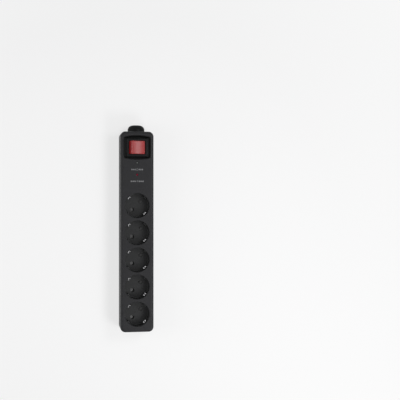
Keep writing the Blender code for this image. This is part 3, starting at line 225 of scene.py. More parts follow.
def arc(centre, radius, start, end, steps):
    """Points on a circle from one angle to another, in degrees, both ends included."""
    turns = [math.radians(start + (end - start) * k / steps) for k in range(steps + 1)]
    return [(centre[0] + radius * math.cos(t), centre[1] + radius * math.sin(t)) for t in turns]


def circle(radius, centre=(0, 0), sides=SMALL_SIDES):
    return arc(centre, radius, 0, 360, sides)[:-1]


def rounded_rectangle(width, length, radius, centre=(0, 0), steps=CORNER_STEPS):
    x, y = width / 2 - radius, length / 2 - radius
    points = []
    for i, j, start in ((1, 1, 0), (-1, 1, 90), (-1, -1, 180), (1, -1, 270)):
        points += arc((centre[0] + i * x, centre[1] + j * y), radius, start, start + 90, steps)
    return points


def slot(width, start, end, row, steps=16):
    """A round-ended slot along X."""
    return arc((end, row), width / 2, -90, 90, steps) + arc((start, row), width / 2, 90, 270, steps)


def bend(a, b, c, steps):
    """Points of a smooth corner from a to c that is drawn towards b."""
    a, b, c = Vector(a), Vector(b), Vector(c)
    shares = [k / steps for k in range(steps + 1)]
    return [tuple(a * (1 - t) ** 2 + b * 2 * t * (1 - t) + c * t**2) for t in shares]


def barrel(inset=0.0, steps=24):
    """The switch recess: a rectangle whose two short ends bow outwards, with rounded corners."""
    x, y, corner = RECESS_WIDTH / 2, RECESS_LENGTH / 2, RECESS_CORNER
    radius = (x**2 + RECESS_BULGE**2) / (2 * RECESS_BULGE)
    reach = math.degrees(math.asin((x - corner) / radius))
    end = arc((0, y + RECESS_BULGE - radius), radius, 90 - reach, 90 + reach, steps)
    right = bend((x, y - corner), (x, y), end[0], EASE_STEPS)
    half = right[:-1] + end + [(-u, v) for u, v in right[-2::-1]]
    grow = (1 - inset / x, 1 - inset / y)
    points = half + [(-u, -v) for u, v in half]
    return [(u * grow[0], ROCKER_AXIS.y + v * grow[1]) for u, v in points]


def ribbon(path, thickness):
    """The closed outline of a bent sheet of even thickness along a path."""
    points = [Vector(p) for p in path]
    left, right = [], []
    for k, point in enumerate(points):
        ahead, behind = points[min(k + 1, len(points) - 1)], points[max(k - 1, 0)]
        along = (ahead - behind).normalized()
        normal = Vector((-along.y, along.x)) * thickness / 2
        left.append(tuple(point + normal))
        right.append(tuple(point - normal))
    return left + right[::-1]


# Meshes


def finished(bm):
    bmesh.ops.recalc_face_normals(bm, faces=bm.faces)
    mesh = bpy.data.meshes.new("shape")
    bm.to_mesh(mesh)
    bm.free()
    return mesh


def skin(rings, looped=False):
    """A closed mesh through rings of points, where a ring of one point is a tip."""
    bm = bmesh.new()
    rows = [[bm.verts.new(point) for point in ring] for ring in rings]
    for low, high in zip(rows, rows[1:] + rows[:1] if looped else rows[1:]):
        for k in range(max(len(low), len(high))):
            a, b = low[k % len(low)], low[(k + 1) % len(low)]
            c, d = high[(k + 1) % len(high)], high[k % len(high)]
            bm.faces.new(dict.fromkeys((a, b, c, d)))
    for row in () if looped else (rows[0], rows[-1]):
        if len(row) > 2:
            bm.faces.new(row)
    return finished(bm)


def eased_levels(low, high, low_ease=0.0, high_ease=0.0):
    """Pairs of (inset, level) up a solid whose two end edges are rounded."""
    turns = [math.radians(90 * k / EASE_STEPS) for k in range(EASE_STEPS + 1)]
    levels = [(low_ease * (1 - math.sin(t)), low + low_ease * (1 - math.cos(t))) for t in turns]
    if not low_ease:
        levels = [(0, low)]
    if not high_ease:
        return levels + [(0, high)]
    return levels + [(high_ease * (1 - math.cos(t)), high + high_ease * (math.sin(t) - 1)) for t in turns]


def hollow_levels(low, high, floor_ease=0.0, lip_ease=0.0):
    """Pairs of (inset, level) up a cutter that leaves a rounded floor edge and a rounded lip."""
    turns = [math.radians(90 * k / EASE_STEPS) for k in range(EASE_STEPS + 1)]
    levels = [(floor_ease * (1 - math.sin(t)), low + floor_ease * (1 - math.cos(t))) for t in turns]
    if not floor_ease:
        levels = [(0, low)]
    levels += [(lip_ease * (math.cos(t) - 1), high + lip_ease * (math.sin(t) - 1)) for t in turns]
    return levels + [(-lip_ease, high + SPARE)]


def placed(mesh, matrix):
    """The mesh moved by a matrix, with its faces pointing out also after one that mirrors."""
    if matrix is not None:
        mesh.transform(matrix)
        if matrix.determinant() < 0:
            mesh.flip_normals()
    return mesh


def pillar(outline_at, levels, matrix=None):
    """A solid whose outline at each level is outline_at(inset)."""
    rings = [[(x, y, z) for x, y in outline_at(inset)] for inset, z in levels]
    return placed(skin(rings), matrix)


def turned(profile, matrix=None, sides=ROUND_SIDES, looped=False):
    """A profile of (radius, level) points turned about the Z axis."""
    rings = [[(x, y, z) for x, y in circle(r, sides=sides)] if r else [(0, 0, z)] for r, z in profile]
    return placed(skin(rings, looped), matrix)


def turned_hollow(radius, levels, matrix=None, sides=ROUND_SIDES):
    """A round cutter whose radius follows the levels of a hollow."""
    profile = [(0, levels[0][1])] + [(radius - inset, z) for inset, z in levels] + [(0, levels[-1][1])]
    return turned(profile, matrix, sides)


def together(meshes):
    """Several shapes that don't touch, held in one mesh."""
    bm = bmesh.new()
    for mesh in meshes:
        bm.from_mesh(mesh)
    return finished(bm)


def combined(mesh, tool, operation):
    """The mesh after one Boolean with a tool."""
    body = bpy.data.objects.new("body", mesh)
    helper = bpy.data.objects.new("helper", tool)
    for obj in (body, helper):
        bpy.context.scene.collection.objects.link(obj)
    modifier = body.modifiers.new("shape", "BOOLEAN")
    modifier.object = helper
    modifier.operation = operation
    graph = bpy.context.evaluated_depsgraph_get()
    result = bpy.data.meshes.new_from_object(body.evaluated_get(graph))
    for obj in (body, helper):
        bpy.data.objects.remove(obj)
    return result


def cleaned(mesh):
    """Points that lie closer together than the merge distance become one."""
    bm = bmesh.new()
    bm.from_mesh(mesh)
    bmesh.ops.remove_doubles(bm, verts=bm.verts, dist=MERGE_DISTANCE)
    bmesh.ops.dissolve_degenerate(bm, edges=bm.edges, dist=MERGE_DISTANCE)
    bm.to_mesh(mesh)
    bm.free()


def cut(mesh, *tools):
    for tool in tools:
        mesh = combined(mesh, tool, "DIFFERENCE")
    return mesh


def joined(mesh, *tools):
    for tool in tools:
        mesh = combined(mesh, tool, "UNION")
    return mesh


def at(x=0.0, y=0.0, z=0.0, angle=0.0):
    return Matrix.Translation((x, y, z)) @ Matrix.Rotation(math.radians(angle), 4, "Z")


# Finishes

# Convex edges are lightened by pointiness: partly edge wear, partly a painted highlight
WEAR_AND_HIGHLIGHT_FROM = 0.52
WEAR_AND_HIGHLIGHT_TO = 0.62
WEAR_AND_HIGHLIGHT_LIFT = 3.0
GLOSS_SPREAD = 0.05
GRAIN_DETAIL = 2.0
GRAIN_DEPTH = 0.25


def link(tree, source, target):
    tree.links.new(source, target)


def noise(tree, coords, size, detail=3.0):
    node = tree.nodes.new("ShaderNodeTexNoise")
    node.inputs["Scale"].default_value = 1 / size
    node.inputs["Detail"].default_value = detail
    link(tree, coords, node.inputs["Vector"])
    return node.outputs["Fac"]


def spread(tree, value, low, high, start=0.3, end=0.7):
    node = tree.nodes.new("ShaderNodeMapRange")
    node.inputs["From Min"].default_value = start
    node.inputs["From Max"].default_value = end
    node.inputs["To Min"].default_value = low
    node.inputs["To Max"].default_value = high
    link(tree, value, node.inputs["Value"])
    return node.outputs["Result"]


def mixed(tree, share, first, second):
    node = tree.nodes.new("ShaderNodeMix")
    node.data_type = "RGBA"
    link(tree, share, node.inputs["Factor"])
    for socket, colour in (("A", first), ("B", second)):
        target = next(i for i in node.inputs if i.name == socket and i.type == "RGBA")
        if isinstance(colour, bpy.types.NodeSocket):
            link(tree, colour, target)
        else:
            target.default_value = (*colour, 1.0)
    return next(o for o in node.outputs if o.type == "RGBA")


def shade(colour, factor):
    return tuple(min(1.0, c * factor) for c in colour)


def surface(name, colour, roughness, metallic=0.0, mottle=0.12, mottle_size=9 * MM, grain=0.0,
            grain_size=0.35 * MM, stretch=(1, 1, 1), wear_and_edge_highlight=0.0, **sockets):
    """A moulded, plated or coated finish with uneven colour and gloss, a fine grain, and convex edges lightened
    partly as wear and partly as a painted highlight.
    """
    made = bpy.data.materials.new(name)
    made.use_nodes = True
    tree = made.node_tree
    shader = tree.nodes["Principled BSDF"]
    coords = tree.nodes.new("ShaderNodeTexCoord").outputs["Object"]
    scaled = tree.nodes.new("ShaderNodeMapping")
    scaled.inputs["Scale"].default_value = stretch
    link(tree, coords, scaled.inputs["Vector"])
    cloud = noise(tree, coords, mottle_size)
    tint = mixed(tree, spread(tree, cloud, 0, 1), shade(colour, 1 - mottle), shade(colour, 1 + mottle))
    # Painted highlight and wear: convex edges are lightened by pointiness
    if wear_and_edge_highlight:
        point = tree.nodes.new("ShaderNodeNewGeometry").outputs["Pointiness"]
        tint = mixed(tree, spread(tree, point, 0, wear_and_edge_highlight, WEAR_AND_HIGHLIGHT_FROM, WEAR_AND_HIGHLIGHT_TO), tint, shade(colour, WEAR_AND_HIGHLIGHT_LIFT))
    link(tree, tint, shader.inputs["Base Color"])
    fine = noise(tree, scaled.outputs["Vector"], grain_size, GRAIN_DETAIL)
    gloss = spread(tree, fine, roughness - GLOSS_SPREAD, roughness + GLOSS_SPREAD)
    link(tree, gloss, shader.inputs["Roughness"])
    bump = tree.nodes.new("ShaderNodeBump")
    bump.inputs["Strength"].default_value = grain
    bump.inputs["Distance"].default_value = grain_size * GRAIN_DEPTH
    link(tree, fine, bump.inputs["Height"])
    link(tree, bump.outputs["Normal"], shader.inputs["Normal"])
    shader.inputs["Metallic"].default_value = metallic
    for socket, value in sockets.items():
        shader.inputs[socket.replace("_", " ").title().replace("Ior", "IOR")].default_value = value
    return made


def striped(name, first, second, width, roughness):
    """Two colours in bands along the strip, as on an earth lead."""
    made = surface(name, first, roughness, grain=0.1)
    tree = made.node_tree
    wave = tree.nodes.new("ShaderNodeTexWave")
    wave.inputs["Scale"].default_value = 1 / width
    link(tree, tree.nodes["Texture Coordinate"].outputs["Object"], wave.inputs["Vector"])
    tint = mixed(tree, spread(tree, wave.outputs["Fac"], 0, 1, 0.45, 0.55), first, second)
    link(tree, tint, tree.nodes["Principled BSDF"].inputs["Base Color"])
    return made


def drawn(name, colour, roughness):
    """Bare metal with fine lines along the strip."""
    return surface(name, colour, roughness, metallic=1.0, mottle=0.08, grain=0.25, grain_size=0.2 * MM,
                   stretch=(1, 0.08, 1))


FINISHES = {
    "housing_black": surface("housing_black", (0.0122, 0.0122, 0.0138), 0.46, grain=1.0, grain_size=0.45 * MM,
                             wear_and_edge_highlight=0.35, specular_ior_level=0.2),
    "socket_black": surface("socket_black", (0.021, 0.0215, 0.0222), 0.4, grain=0.4, wear_and_edge_highlight=0.05,
                            specular_ior_level=0.2),
    # Also used on the switch tray, where its darkness is painted shade in the recess
    "gland_black": surface("gland_black", (0.004, 0.0044, 0.0045), 0.48, grain=0.25, wear_and_edge_highlight=0.2,
                           specular_ior_level=0.1),
    "switch_black": surface("switch_black", (0.004, 0.004, 0.0046), 0.22, grain=0.05, wear_and_edge_highlight=0.3,
                            specular_ior_level=0.16),
    "rocker_red": surface("rocker_red", (0.31, 0.008, 0.009), 0.34, mottle=0.06, grain=0.05,
                          specular_ior_level=0.3, coat_weight=0.22, coat_roughness=0.3),
    "contact_brass": drawn("contact_brass", (0.72, 0.5, 0.22), 0.3),
    "plated_steel": drawn("plated_steel", (0.5, 0.5, 0.51), 0.3),
    "spring_steel": drawn("spring_steel", (0.5, 0.5, 0.52), 0.3),
    "shutter_grey": surface("shutter_grey", (0.01, 0.01, 0.0105), 0.42, grain=0.2),
    "lamp_glass": surface("lamp_glass", (0.9, 0.6, 0.4), 0.1, mottle=0.04, transmission_weight=0.7),
    "led_clear": surface("led_clear", (0.08, 0.088, 0.085), 0.2, mottle=0.05, coat_weight=0.2),
    "led_red": surface("led_red", (0.17, 0.002, 0.02), 0.2, mottle=0.05, specular_ior_level=0.25,
                       emission_color=(0.8, 0.0, 0.07, 1.0), emission_strength=0.03),
    "board_green": surface("board_green", (0.03, 0.16, 0.06), 0.4, mottle=0.3, mottle_size=2 * MM, grain=0.2),
    "varistor_blue": surface("varistor_blue", (0.04, 0.13, 0.45), 0.35, grain=0.3, grain_size=0.8 * MM),
    "capacitor_yellow": surface("capacitor_yellow", (0.72, 0.55, 0.08), 0.3, mottle=0.06, grain=0.1),
    "nylon_white": surface("nylon_white", (0.72, 0.72, 0.68), 0.5, mottle=0.05, grain=0.15),
    "insulation_brown": surface("insulation_brown", (0.16, 0.06, 0.025), 0.45, grain=0.1),
    "insulation_blue": surface("insulation_blue", (0.04, 0.13, 0.45), 0.45, grain=0.1),
    "insulation_green_yellow": striped("insulation_green_yellow", (0.05, 0.3, 0.05), (0.75, 0.65, 0.04),
                                       4 * MM, 0.45),
}
PRINT = surface("grey_ink", (0.17, 0.17, 0.175), 0.6, mottle=0.15, mottle_size=1 * MM, grain=0.2)


def dress_nodes():
    """Every node of the frame gets the finish of its material slot."""
    for node, obj in frame["nodes"].items():
        for socket in obj.material_slots:
            socket.material = FINISHES[NODE_SLOTS[node]]


def piece(name, mesh, slot_name, stands_for=(), body="housing", place=(0, 0, 0), crease=40, ink=None):
    """A finished piece that rides on a body and stands for nodes of the frame."""
    cleaned(mesh)
    obj = bpy.data.objects.new(name, mesh)
    bpy.context.scene.collection.objects.link(obj)
    obj.location = place
    mesh.materials.clear()
    mesh.materials.append(ink or FINISHES[slot_name])
    mesh.shade_smooth()
    mesh.set_sharp_from_angle(angle=math.radians(crease))
    normals = obj.modifiers.new("face_normals", "WEIGHTED_NORMAL")
    normals.keep_sharp = True
    normals.weight = 100
    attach(obj, body)
    if stands_for:
        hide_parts(*stands_for)
    return obj


# Housing


def body_outline(inset=0.0):
    width, length = BODY_WIDTH - 2 * inset, BODY_LENGTH - 2 * inset
    return rounded_rectangle(width, length, CORNER_RADIUS - inset, BODY_CENTRE)


def gland_hole():
    levels = eased_levels(FRONT_HIGH.y - 2 * WALL, FRONT_HIGH.y + WALL)
    return pillar(lambda inset: circle(NECK_RADIUS + GAP, (0, SEAM), ROUND_SIDES), levels, ACROSS)


def front_shell():
    """The upper shell with its openings for the sockets, the lamps and the switch."""
    shell = pillar(body_outline, eased_levels(FRONT_LOW.z, FRONT, SEAM_EASE, SHOULDER_RADIUS))
    lap = WALL - LAP_THICKNESS - GAP
    below = FRONT_LOW.z - SPARE
    shell = cut(
        shell,
        pillar(lambda inset: body_outline(lap), eased_levels(below, SEAM + LAP_HEIGHT + GAP)),
        pillar(lambda inset: body_outline(WALL), eased_levels(below, PLATE_UNDERSIDE)),
    )
    levels = hollow_levels(PLATE_UNDERSIDE - SPARE, FRONT, 0, RECESS_EASE)
    shell = cut(shell, pillar(lambda inset: barrel(inset - TRAY_RIM - TRAY_GAP), levels))
    levels = hollow_levels(PLATE_UNDERSIDE - SPARE, FRONT, 0, OPENING_EASE)
    shell = cut(shell, together([turned_hollow(OPENING_RADIUS, levels, at(y=row)) for row in SOCKETS]))
    levels = hollow_levels(PLATE_UNDERSIDE - SPARE, FRONT, 0, LED_HOLE_EASE)
    lamps = [turned_hollow(LED_RADIUS + GAP, levels, at(y=middle(name).y), SMALL_SIDES)
             for name in ("power_led", "surge_led")]
    return cut(shell, together(lamps), gland_hole())


def switch_tray():
    """The barrel-shaped tray round the switch, with a deeper scoop at each end of its floor."""
    place = (0, ROCKER_AXIS.y)
    scoop, table, rim = FRONT - SCOOP_DEPTH, FRONT - RECESS_DEPTH, FRONT - RECESS_EASE
    tray = pillar(
        lambda inset: barrel(inset - TRAY_RIM),
        eased_levels(scoop - RECESS_FLOOR, rim, 0, TRAY_GAP),
    )
    mouth = pillar(barrel, hollow_levels(scoop, rim, RECESS_EASE, TRAY_RIM / 2))
    width, length = RECESS_WIDTH + TRAY_RIM, RECESS_LENGTH - 2 * SCOOP_START
    step = pillar(
        lambda inset: rounded_rectangle(width, length - 2 * inset, GAP, place),
        eased_levels(scoop - RECESS_FLOOR / 2, table, 0, RECESS_EASE),
    )
    window = pillar(
        lambda inset: rounded_rectangle(WINDOW_X, WINDOW_Y, GAP, place),
        eased_levels(scoop - 2 * RECESS_FLOOR, FRONT + SPARE),
    )
    return cut(joined(cut(tray, mouth), step), window)


def rear_shell():
    """The lower shell with its screw wells and the two keyholes in the back."""
    top = SEAM - SEAM_GAP / 2
    tray = pillar(body_outline, eased_levels(REAR_LOW.z, top, BACK_EASE, SEAM_EASE))
    lap = WALL - LAP_THICKNESS
    tongue = pillar(lambda inset: body_outline(lap), eased_levels(2 * BACK, SEAM + LAP_HEIGHT))
    cavity = pillar(lambda inset: body_outline(WALL), eased_levels(BACK, FRONT))
    tray = cut(joined(tray, tongue), cavity)
    for mount in ("upper_keyhole_seat", "lower_keyhole_seat"):
        tray = keyhole(tray, MOUNTS[mount]["pos_m"][1])
    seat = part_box("case_screw_1")[0].z + HEAD_HEIGHT
    for screw in SCREWS:
        place = at(screw.x, screw.y)
        foot, head = BACK / 2, top - GAP
        boss = turned([(0, foot), (BOSS_RADIUS, foot), (BOSS_RADIUS, head), (0, head)], place)
        bore = [(0, -SPARE), (COUNTERBORE_RADIUS + GAP, -SPARE), (COUNTERBORE_RADIUS + GAP, 0)]
        bore += [(COUNTERBORE_RADIUS, GAP), (COUNTERBORE_RADIUS, seat + GAP), (0, seat + GAP)]
        tray = cut(joined(tray, boss), turned(bore, place))
    return cut(tray, gland_hole())


def keyhole(tray, seat_row):
    """A keyhole in the back under a closed pocket, whose seat lies beside the slot."""
    row = min(keyhole_rows(), key=lambda y: abs(y - seat_row))
    start, end = -KEYHOLE_TRAVEL / 2, KEYHOLE_TRAVEL / 2
    half = KEYHOLE_HEAD / 2 + 2 * GAP + KEYHOLE_WALL
    width = KEYHOLE_TRAVEL + 2 * half
    top = BACK + KEYHOLE_ROOM + KEYHOLE_WALL
    pocket = pillar(
        lambda inset: rounded_rectangle(width, 2 * half, KEYHOLE_WALL, (0, row)),
        eased_levels(BACK / 2, top),
    )
    room = pillar(
        lambda inset: slot(KEYHOLE_HEAD + 2 * GAP, start, end, row),
        eased_levels(BACK, BACK + KEYHOLE_ROOM),
    )
    through = eased_levels(-SPARE, BACK + SPARE)
    head = pillar(lambda inset: circle(KEYHOLE_HEAD / 2, (start, row)), through)
    neck = pillar(lambda inset: slot(KEYHOLE_SLOT, start, end, row), through)
    return cut(joined(tray, pocket), room, head, neck)


def keyhole_rows():
    """The middle of each keyhole's opening box along the strip."""
    openings = frame["record"]["physics"]["openings"]
    boxes = [row["box_m"] for row in openings if "keyhole_slot" in row["name"]]
    return [(low[1] + high[1]) / 2 for low, high in boxes]


def gland_neck():
    """The cord's neck: a flange inside the wall, a domed end and a bell-mouthed bore."""
    end = GLAND_HIGH.y - GLAND_LOW.y
    flange = (GLAND_HIGH.x - GLAND_LOW.x) / 2
    dome, bell = arc((0, 0), 1, 0, 90, DOME_STEPS), arc((0, 0), 1, 90, 180, BELL_STEPS)
    swell, flare = NECK_RADIUS - MOUTH_RADIUS, MOUTH_RADIUS - BORE_RADIUS
    profile = [(BORE_RADIUS, 0), (flange, 0), (flange, FLANGE_THICKNESS), (NECK_RADIUS, FLANGE_THICKNESS)]
    profile += [(MOUTH_RADIUS + swell * u, end - NECK_DOME * (1 - v)) for u, v in dome]
    profile += [(MOUTH_RADIUS + flare * u, end - MOUTH_DEPTH * (1 - v)) for u, v in bell[1:]]
    place = Matrix.Translation((0, GLAND_LOW.y, SEAM)) @ Matrix.Rotation(-math.pi / 2, 4, "X")
    return turned(profile, place, looped=True)


def cross_screw():
    """A pan-head screw along +Z from its seat, with a cross recess in its head."""
    low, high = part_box("case_screw_1")
    reach = high.z - low.z - HEAD_HEIGHT
    head = [(HEAD_RADIUS - inset, z) for inset, z in eased_levels(-HEAD_HEIGHT, 0, HEAD_HEIGHT / 2, 0)]
    shank = [(SHANK_RADIUS, 0), (SHANK_RADIUS, reach - SHANK_RADIUS), (0, reach)]
    screw = turned([(0, -HEAD_HEIGHT)] + head + shank, sides=SMALL_SIDES)
    levels = eased_levels(-HEAD_HEIGHT - SPARE, CROSS_DEPTH - HEAD_HEIGHT, 0, CROSS_DEPTH / 3)
    for x, y in ((CROSS_LENGTH, CROSS_WIDTH), (CROSS_WIDTH, CROSS_LENGTH)):
        bar = pillar(lambda inset: rounded_rectangle(x - inset, y - inset, CROSS_WIDTH / 6), levels)
        screw = cut(screw, bar)
    return screw


# Sockets


def insert_outline(inset=0.0):
    """The eight-sided base of a socket insert."""
    x, y = (INSERT_HIGH.x - INSERT_LOW.x) / 2, (INSERT_HIGH.y - INSERT_LOW.y) / 2
    reach = (WELL_RADIUS + CUP_WALL + INSERT_CORNER) * math.sqrt(2)
    corners = [(x, reach - x), (reach - y, y), (y - reach, y), (-x, reach - x)]
    return corners + [(-a, -b) for a, b in corners]


def socket_well():
    """One socket well about its own axis: cup, guide ribs, pin holes and slots for the earth arms."""
    rim, under = INSERT_HIGH.z, FLOOR_TOP - FLOOR_THICKNESS
    cup_radius, foot = WELL_RADIUS + CUP_WALL, under + FLOOR_THICKNESS / 4
    base = pillar(insert_outline, eased_levels(under, FLOOR_TOP))
    cup = turned([(0, foot), (cup_radius, foot), (cup_radius, rim), (0, rim)])
    well = cut(joined(base, cup), turned_hollow(WELL_RADIUS, hollow_levels(FLOOR_TOP, rim, FLOOR_EASE, GAP)))
    rib_levels = eased_levels(FLOOR_TOP - FLOOR_THICKNESS / 2, RIB_TOP, 0, RIB_EASE)
    hole_levels = hollow_levels(under - SPARE, FLOOR_TOP, 0, PIN_HOLE_EASE)
    slot_levels = hollow_levels(under - SPARE, FLOOR_TOP, 0, GAP)
    notch_levels = eased_levels(FLOOR_TOP + NOTCH_SILL, rim + SPARE)
    rib_size, rib_place = (RIB_DEPTH + CUP_WALL / 2, RIB_WIDTH), WELL_RADIUS + CUP_WALL / 4 - RIB_DEPTH / 2
    slot_size, slot_place = (SHEET + 3 * GAP, ARM_WIDTH + 2 * GAP), ARM_RADIUS - GAP / 2
    notch_size = (2 * CUP_WALL + SHEET, ARM_WIDTH + 2 * GAP)

    def rib_outline(inset):
        return rounded_rectangle(rib_size[0] - 2 * inset, rib_size[1] - 2 * inset, RIB_EASE, (rib_place, 0))

    def slot_outline(inset):
        width, length = slot_size[0] - 2 * inset, slot_size[1] - 2 * inset
        return rounded_rectangle(width, length, 2 * GAP - inset, (slot_place, 0))

    def notch_outline(inset):
        return rounded_rectangle(*notch_size, GAP, (cup_radius, 0))

    ribs, holes, slots, notches = [], [], [], []
    for turn in (PIN_ANGLE, PIN_ANGLE + 180):
        along, across = at(angle=turn), at(angle=turn + 90)
        ribs.append(pillar(rib_outline, rib_levels, along))
        holes.append(turned_hollow(PIN_HOLE_RADIUS, hole_levels, along @ at(PIN_RADIUS), SMALL_SIDES))
        slots.append(pillar(slot_outline, slot_levels, across))
        notches.append(pillar(notch_outline, notch_levels, across))
    return cut(joined(well, together(ribs)), together(holes), together(slots), together(notches))


def earth_contacts():
    """The earth rail: a spine with a pair of bowed, split arms at every socket."""
    spine_top, tip = EARTH_LOW.z + SHEET, EARTH_HIGH.z
    low = FLOOR_TOP + 2 * GAP
    half = arc((ARM_RADIUS - ARM_BEND, spine_top + ARM_BEND), ARM_BEND, -90, 0, ARM_BEND_STEPS)
    for k in range(1, ARM_STEPS + 1):
        share = k / ARM_STEPS
        bow = ARM_BULGE * math.sin(math.pi * share**ARM_KNEE)
        half.append((ARM_RADIUS - bow, low + (tip - low) * share))
    path = [(-u, v) for u, v in half[::-1]] + half
    levels = eased_levels(-ARM_WIDTH / 2, ARM_WIDTH / 2, SHEET_EASE, SHEET_EASE)
    length, centre = EARTH_HIGH.y - EARTH_LOW.y, (0, (EARTH_LOW.y + EARTH_HIGH.y) / 2)
    spine = pillar(
        lambda inset: rounded_rectangle(SPINE_WIDTH, length, SPINE_WIDTH / 4, centre),
        eased_levels(EARTH_LOW.z, spine_top, SHEET_EASE, SHEET_EASE),
    )
    slit_levels = eased_levels(tip - ARM_SLIT_LENGTH, tip + SPARE)
    slits = []
    for row in SOCKETS:
        arms = pillar(lambda inset: ribbon(path, SHEET - 2 * inset), levels, ACROSS)
        for vertex in arms.vertices:
            share = max(0.0, (vertex.co.z - low) / (tip - low))
            vertex.co.y *= 1 - ARM_TIP_TAPER * share**2
        turn = at(y=row, angle=PIN_ANGLE + 90)
        arms.transform(turn)
        spine = joined(spine, arms)
        slit = rounded_rectangle(2 * WELL_RADIUS, ARM_SLIT, ARM_SLIT / 4)
        slits.append(pillar(lambda inset: slit, slit_levels, turn))
    return cut(spine, together(slits))


# Switch


def switch_frame():
    """The switch's body with a polished bezel round the rocker."""
    place = (0, ROCKER_AXIS.y)
    width, length = SWITCH_HIGH.x - SWITCH_LOW.x, SWITCH_HIGH.y - SWITCH_LOW.y
    bezel = pillar(
        lambda inset: rounded_rectangle(
            width - 2 * inset, length - 2 * inset, BEZEL_CORNER - inset / 2, place),
        eased_levels(SWITCH_HIGH.z - BEZEL_THICKNESS, SWITCH_HIGH.z, SEAM_EASE / 2, BEZEL_EASE),
    )
    outer = (WINDOW_X - 2 * GAP, WINDOW_Y - 2 * GAP)
    box = pillar(
        lambda inset: rounded_rectangle(*outer, GAP, place),
        eased_levels(SWITCH_LOW.z, SWITCH_HIGH.z - BEZEL_THICKNESS / 2),
    )
    inner = (outer[0] - 2 * SWITCH_WALL, outer[1] - 2 * SWITCH_WALL)
    hollow = pillar(
        lambda inset: rounded_rectangle(
            inner[0] - 2 * inset, inner[1] - 2 * inset, 2 * GAP - inset / 2, place),
        hollow_levels(SWITCH_LOW.z + SWITCH_WALL, SWITCH_HIGH.z, 0, BEZEL_LIP),
    )
    return cut(joined(bezel, box), hollow)


def rocker_outline(inset=0.0):
    """The rocker's section: a dished face between two ends that are round about the pivot."""
    radius, high = ROCKER_RADIUS - inset, ROCKER_END_HEIGHT - inset
    half = math.sqrt(radius**2 - high**2)
    corner, foot = (math.degrees(math.asin(z / radius)) for z in (high, -ROCKER_SKIRT))
    ease = math.degrees(ROCKER_EASE / radius)
    end = arc((0, 0), radius, foot, corner - ease, ROCKER_END_STEPS)
    start = half - ROCKER_EASE
    across = [start * (1 - k / ROCKER_FACE_STEPS) for k in range(2 * ROCKER_FACE_STEPS + 1)]
    face = [(x, high - ROCKER_DISH * (1 - (x / half) ** 2)) for x in across]
    right = end[:-1] + bend(end[-1], (half, high), face[0], EASE_STEPS)
    return right + face[1:-1] + [(-u, v) for u, v in right[::-1]]


def rocker_cap():
    """The red rocker, tilted about its pivot as it rests."""
    half = ROCKER_WIDTH / 2
    cap = pillar(rocker_outline, eased_levels(-half, half, ROCKER_EASE, ROCKER_EASE), ACROSS)
    inner = half - ROCKER_WALL
    sunk = Matrix.Translation((0, 0, -ROCKER_WALL))
    hollow = pillar(lambda inset: rocker_outline(ROCKER_WALL), eased_levels(-inner, inner), sunk @ ACROSS)
    cap = cut(cap, hollow)
    cap.transform(Matrix.Translation(ROCKER_AXIS) @ Matrix.Rotation(math.radians(ROCKER_TILT), 4, "Y"))
    return cap


# Lamps and printed marks


def lamp_lens(name):
    low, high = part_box(name)
    dome = arc((0, high.z - LED_RADIUS), LED_RADIUS, 0, 90, CORNER_STEPS)
    step = low.z + LED_FLANGE
    profile = [(0, low.z), (LED_FLANGE_RADIUS, low.z), (LED_FLANGE_RADIUS, step), (LED_RADIUS, step)]
    return turned(profile + dome[:-1] + [(0, high.z)], at(y=middle(name).y), SMALL_SIDES)


def flat(outline, place):
    """A thin print of an outline on the front plate."""
    points = [(place[0] + x, place[1] + y) for x, y in outline]
    return pillar(lambda inset: points, eased_levels(FRONT, FRONT + INK))


def dashes(row, width):
    """Short bars on both sides of a sign."""
    bar = rounded_rectangle(width, BAR_HEIGHT, BAR_HEIGHT / 4, steps=MARK_STEPS)
    places = [BAR_START + (width + BAR_GAP) * k for k in range(BAR_COUNT)]
    return [flat(bar, (side * x, row)) for side in (-1, 1) for x in places]


def power_mark(row):
    """A plain power sign between short bars."""
    opening = SIGN_GAP_ANGLE / 2
    ring = ribbon(arc((0, 0), SIGN_RADIUS, 90 + opening, 450 - opening, SIGN_STEPS), SIGN_STROKE)
    stem = rounded_rectangle(SIGN_STROKE, SIGN_STEM, SIGN_STROKE / 5, (0, SIGN_STEM_MIDDLE), MARK_STEPS)
    return together([flat(ring, (0, row)), flat(stem, (0, row))] + dashes(row, POWER_BAR_WIDTH))


def surge_mark(row):
    """A plain zigzag bolt between short bars."""
    bolt = flat([(x * MM, y * MM) for x, y in BOLT], (0, row))
    return together([bolt] + dashes(row, SURGE_BAR_WIDTH))


# Assembly


def build_pieces():
    """All pieces of the strip, each on its body and in the place of its node."""
    dress_nodes()
    piece("front_shell", front_shell(), "housing_black", ["front_cover"])
    # The switch tray takes the darker gland finish as painted shade in the switch recess
    piece("switch_tray", switch_tray(), "gland_black")
    piece("rear_shell", rear_shell(), "housing_black", ["rear_cover"])
    piece("gland_neck", gland_neck(), "gland_black", ["cable_gland"])
    screw = cross_screw()
    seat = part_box("case_screw_1")[0].z + HEAD_HEIGHT
    for k, place in enumerate(SCREWS, 1):
        stands_for = [f"case_screw_{k}"]
        piece(f"cross_screw_{k}", screw, "plated_steel", stands_for, place=(place.x, place.y, seat))
    well = socket_well()
    for k, row in enumerate(SOCKETS, 1):
        piece(f"socket_well_{k}", well, "socket_black", [f"socket_insert_{k}"], place=(0, row, 0))
    piece("earth_contacts", earth_contacts(), "plated_steel", ["earth_rail"])
    piece("switch_frame", switch_frame(), "switch_black", ["switch_housing"])
    piece("rocker_cap", rocker_cap(), "rocker_red", ["switch_rocker"], "rocker")
    piece("power_lens", lamp_lens("power_led"), "led_clear", ["power_led"])
    piece("surge_lens", lamp_lens("surge_led"), "led_red", ["surge_led"])
    piece("power_mark", power_mark(middle("power_led").y - MARK_BELOW_LAMP), None, ink=PRINT)
    piece("surge_mark", surge_mark(middle("surge_led").y - MARK_BELOW_LAMP), None, ink=PRINT)


# Studio: the anchor is the middle of the second socket, at its pixel and its depth in metres

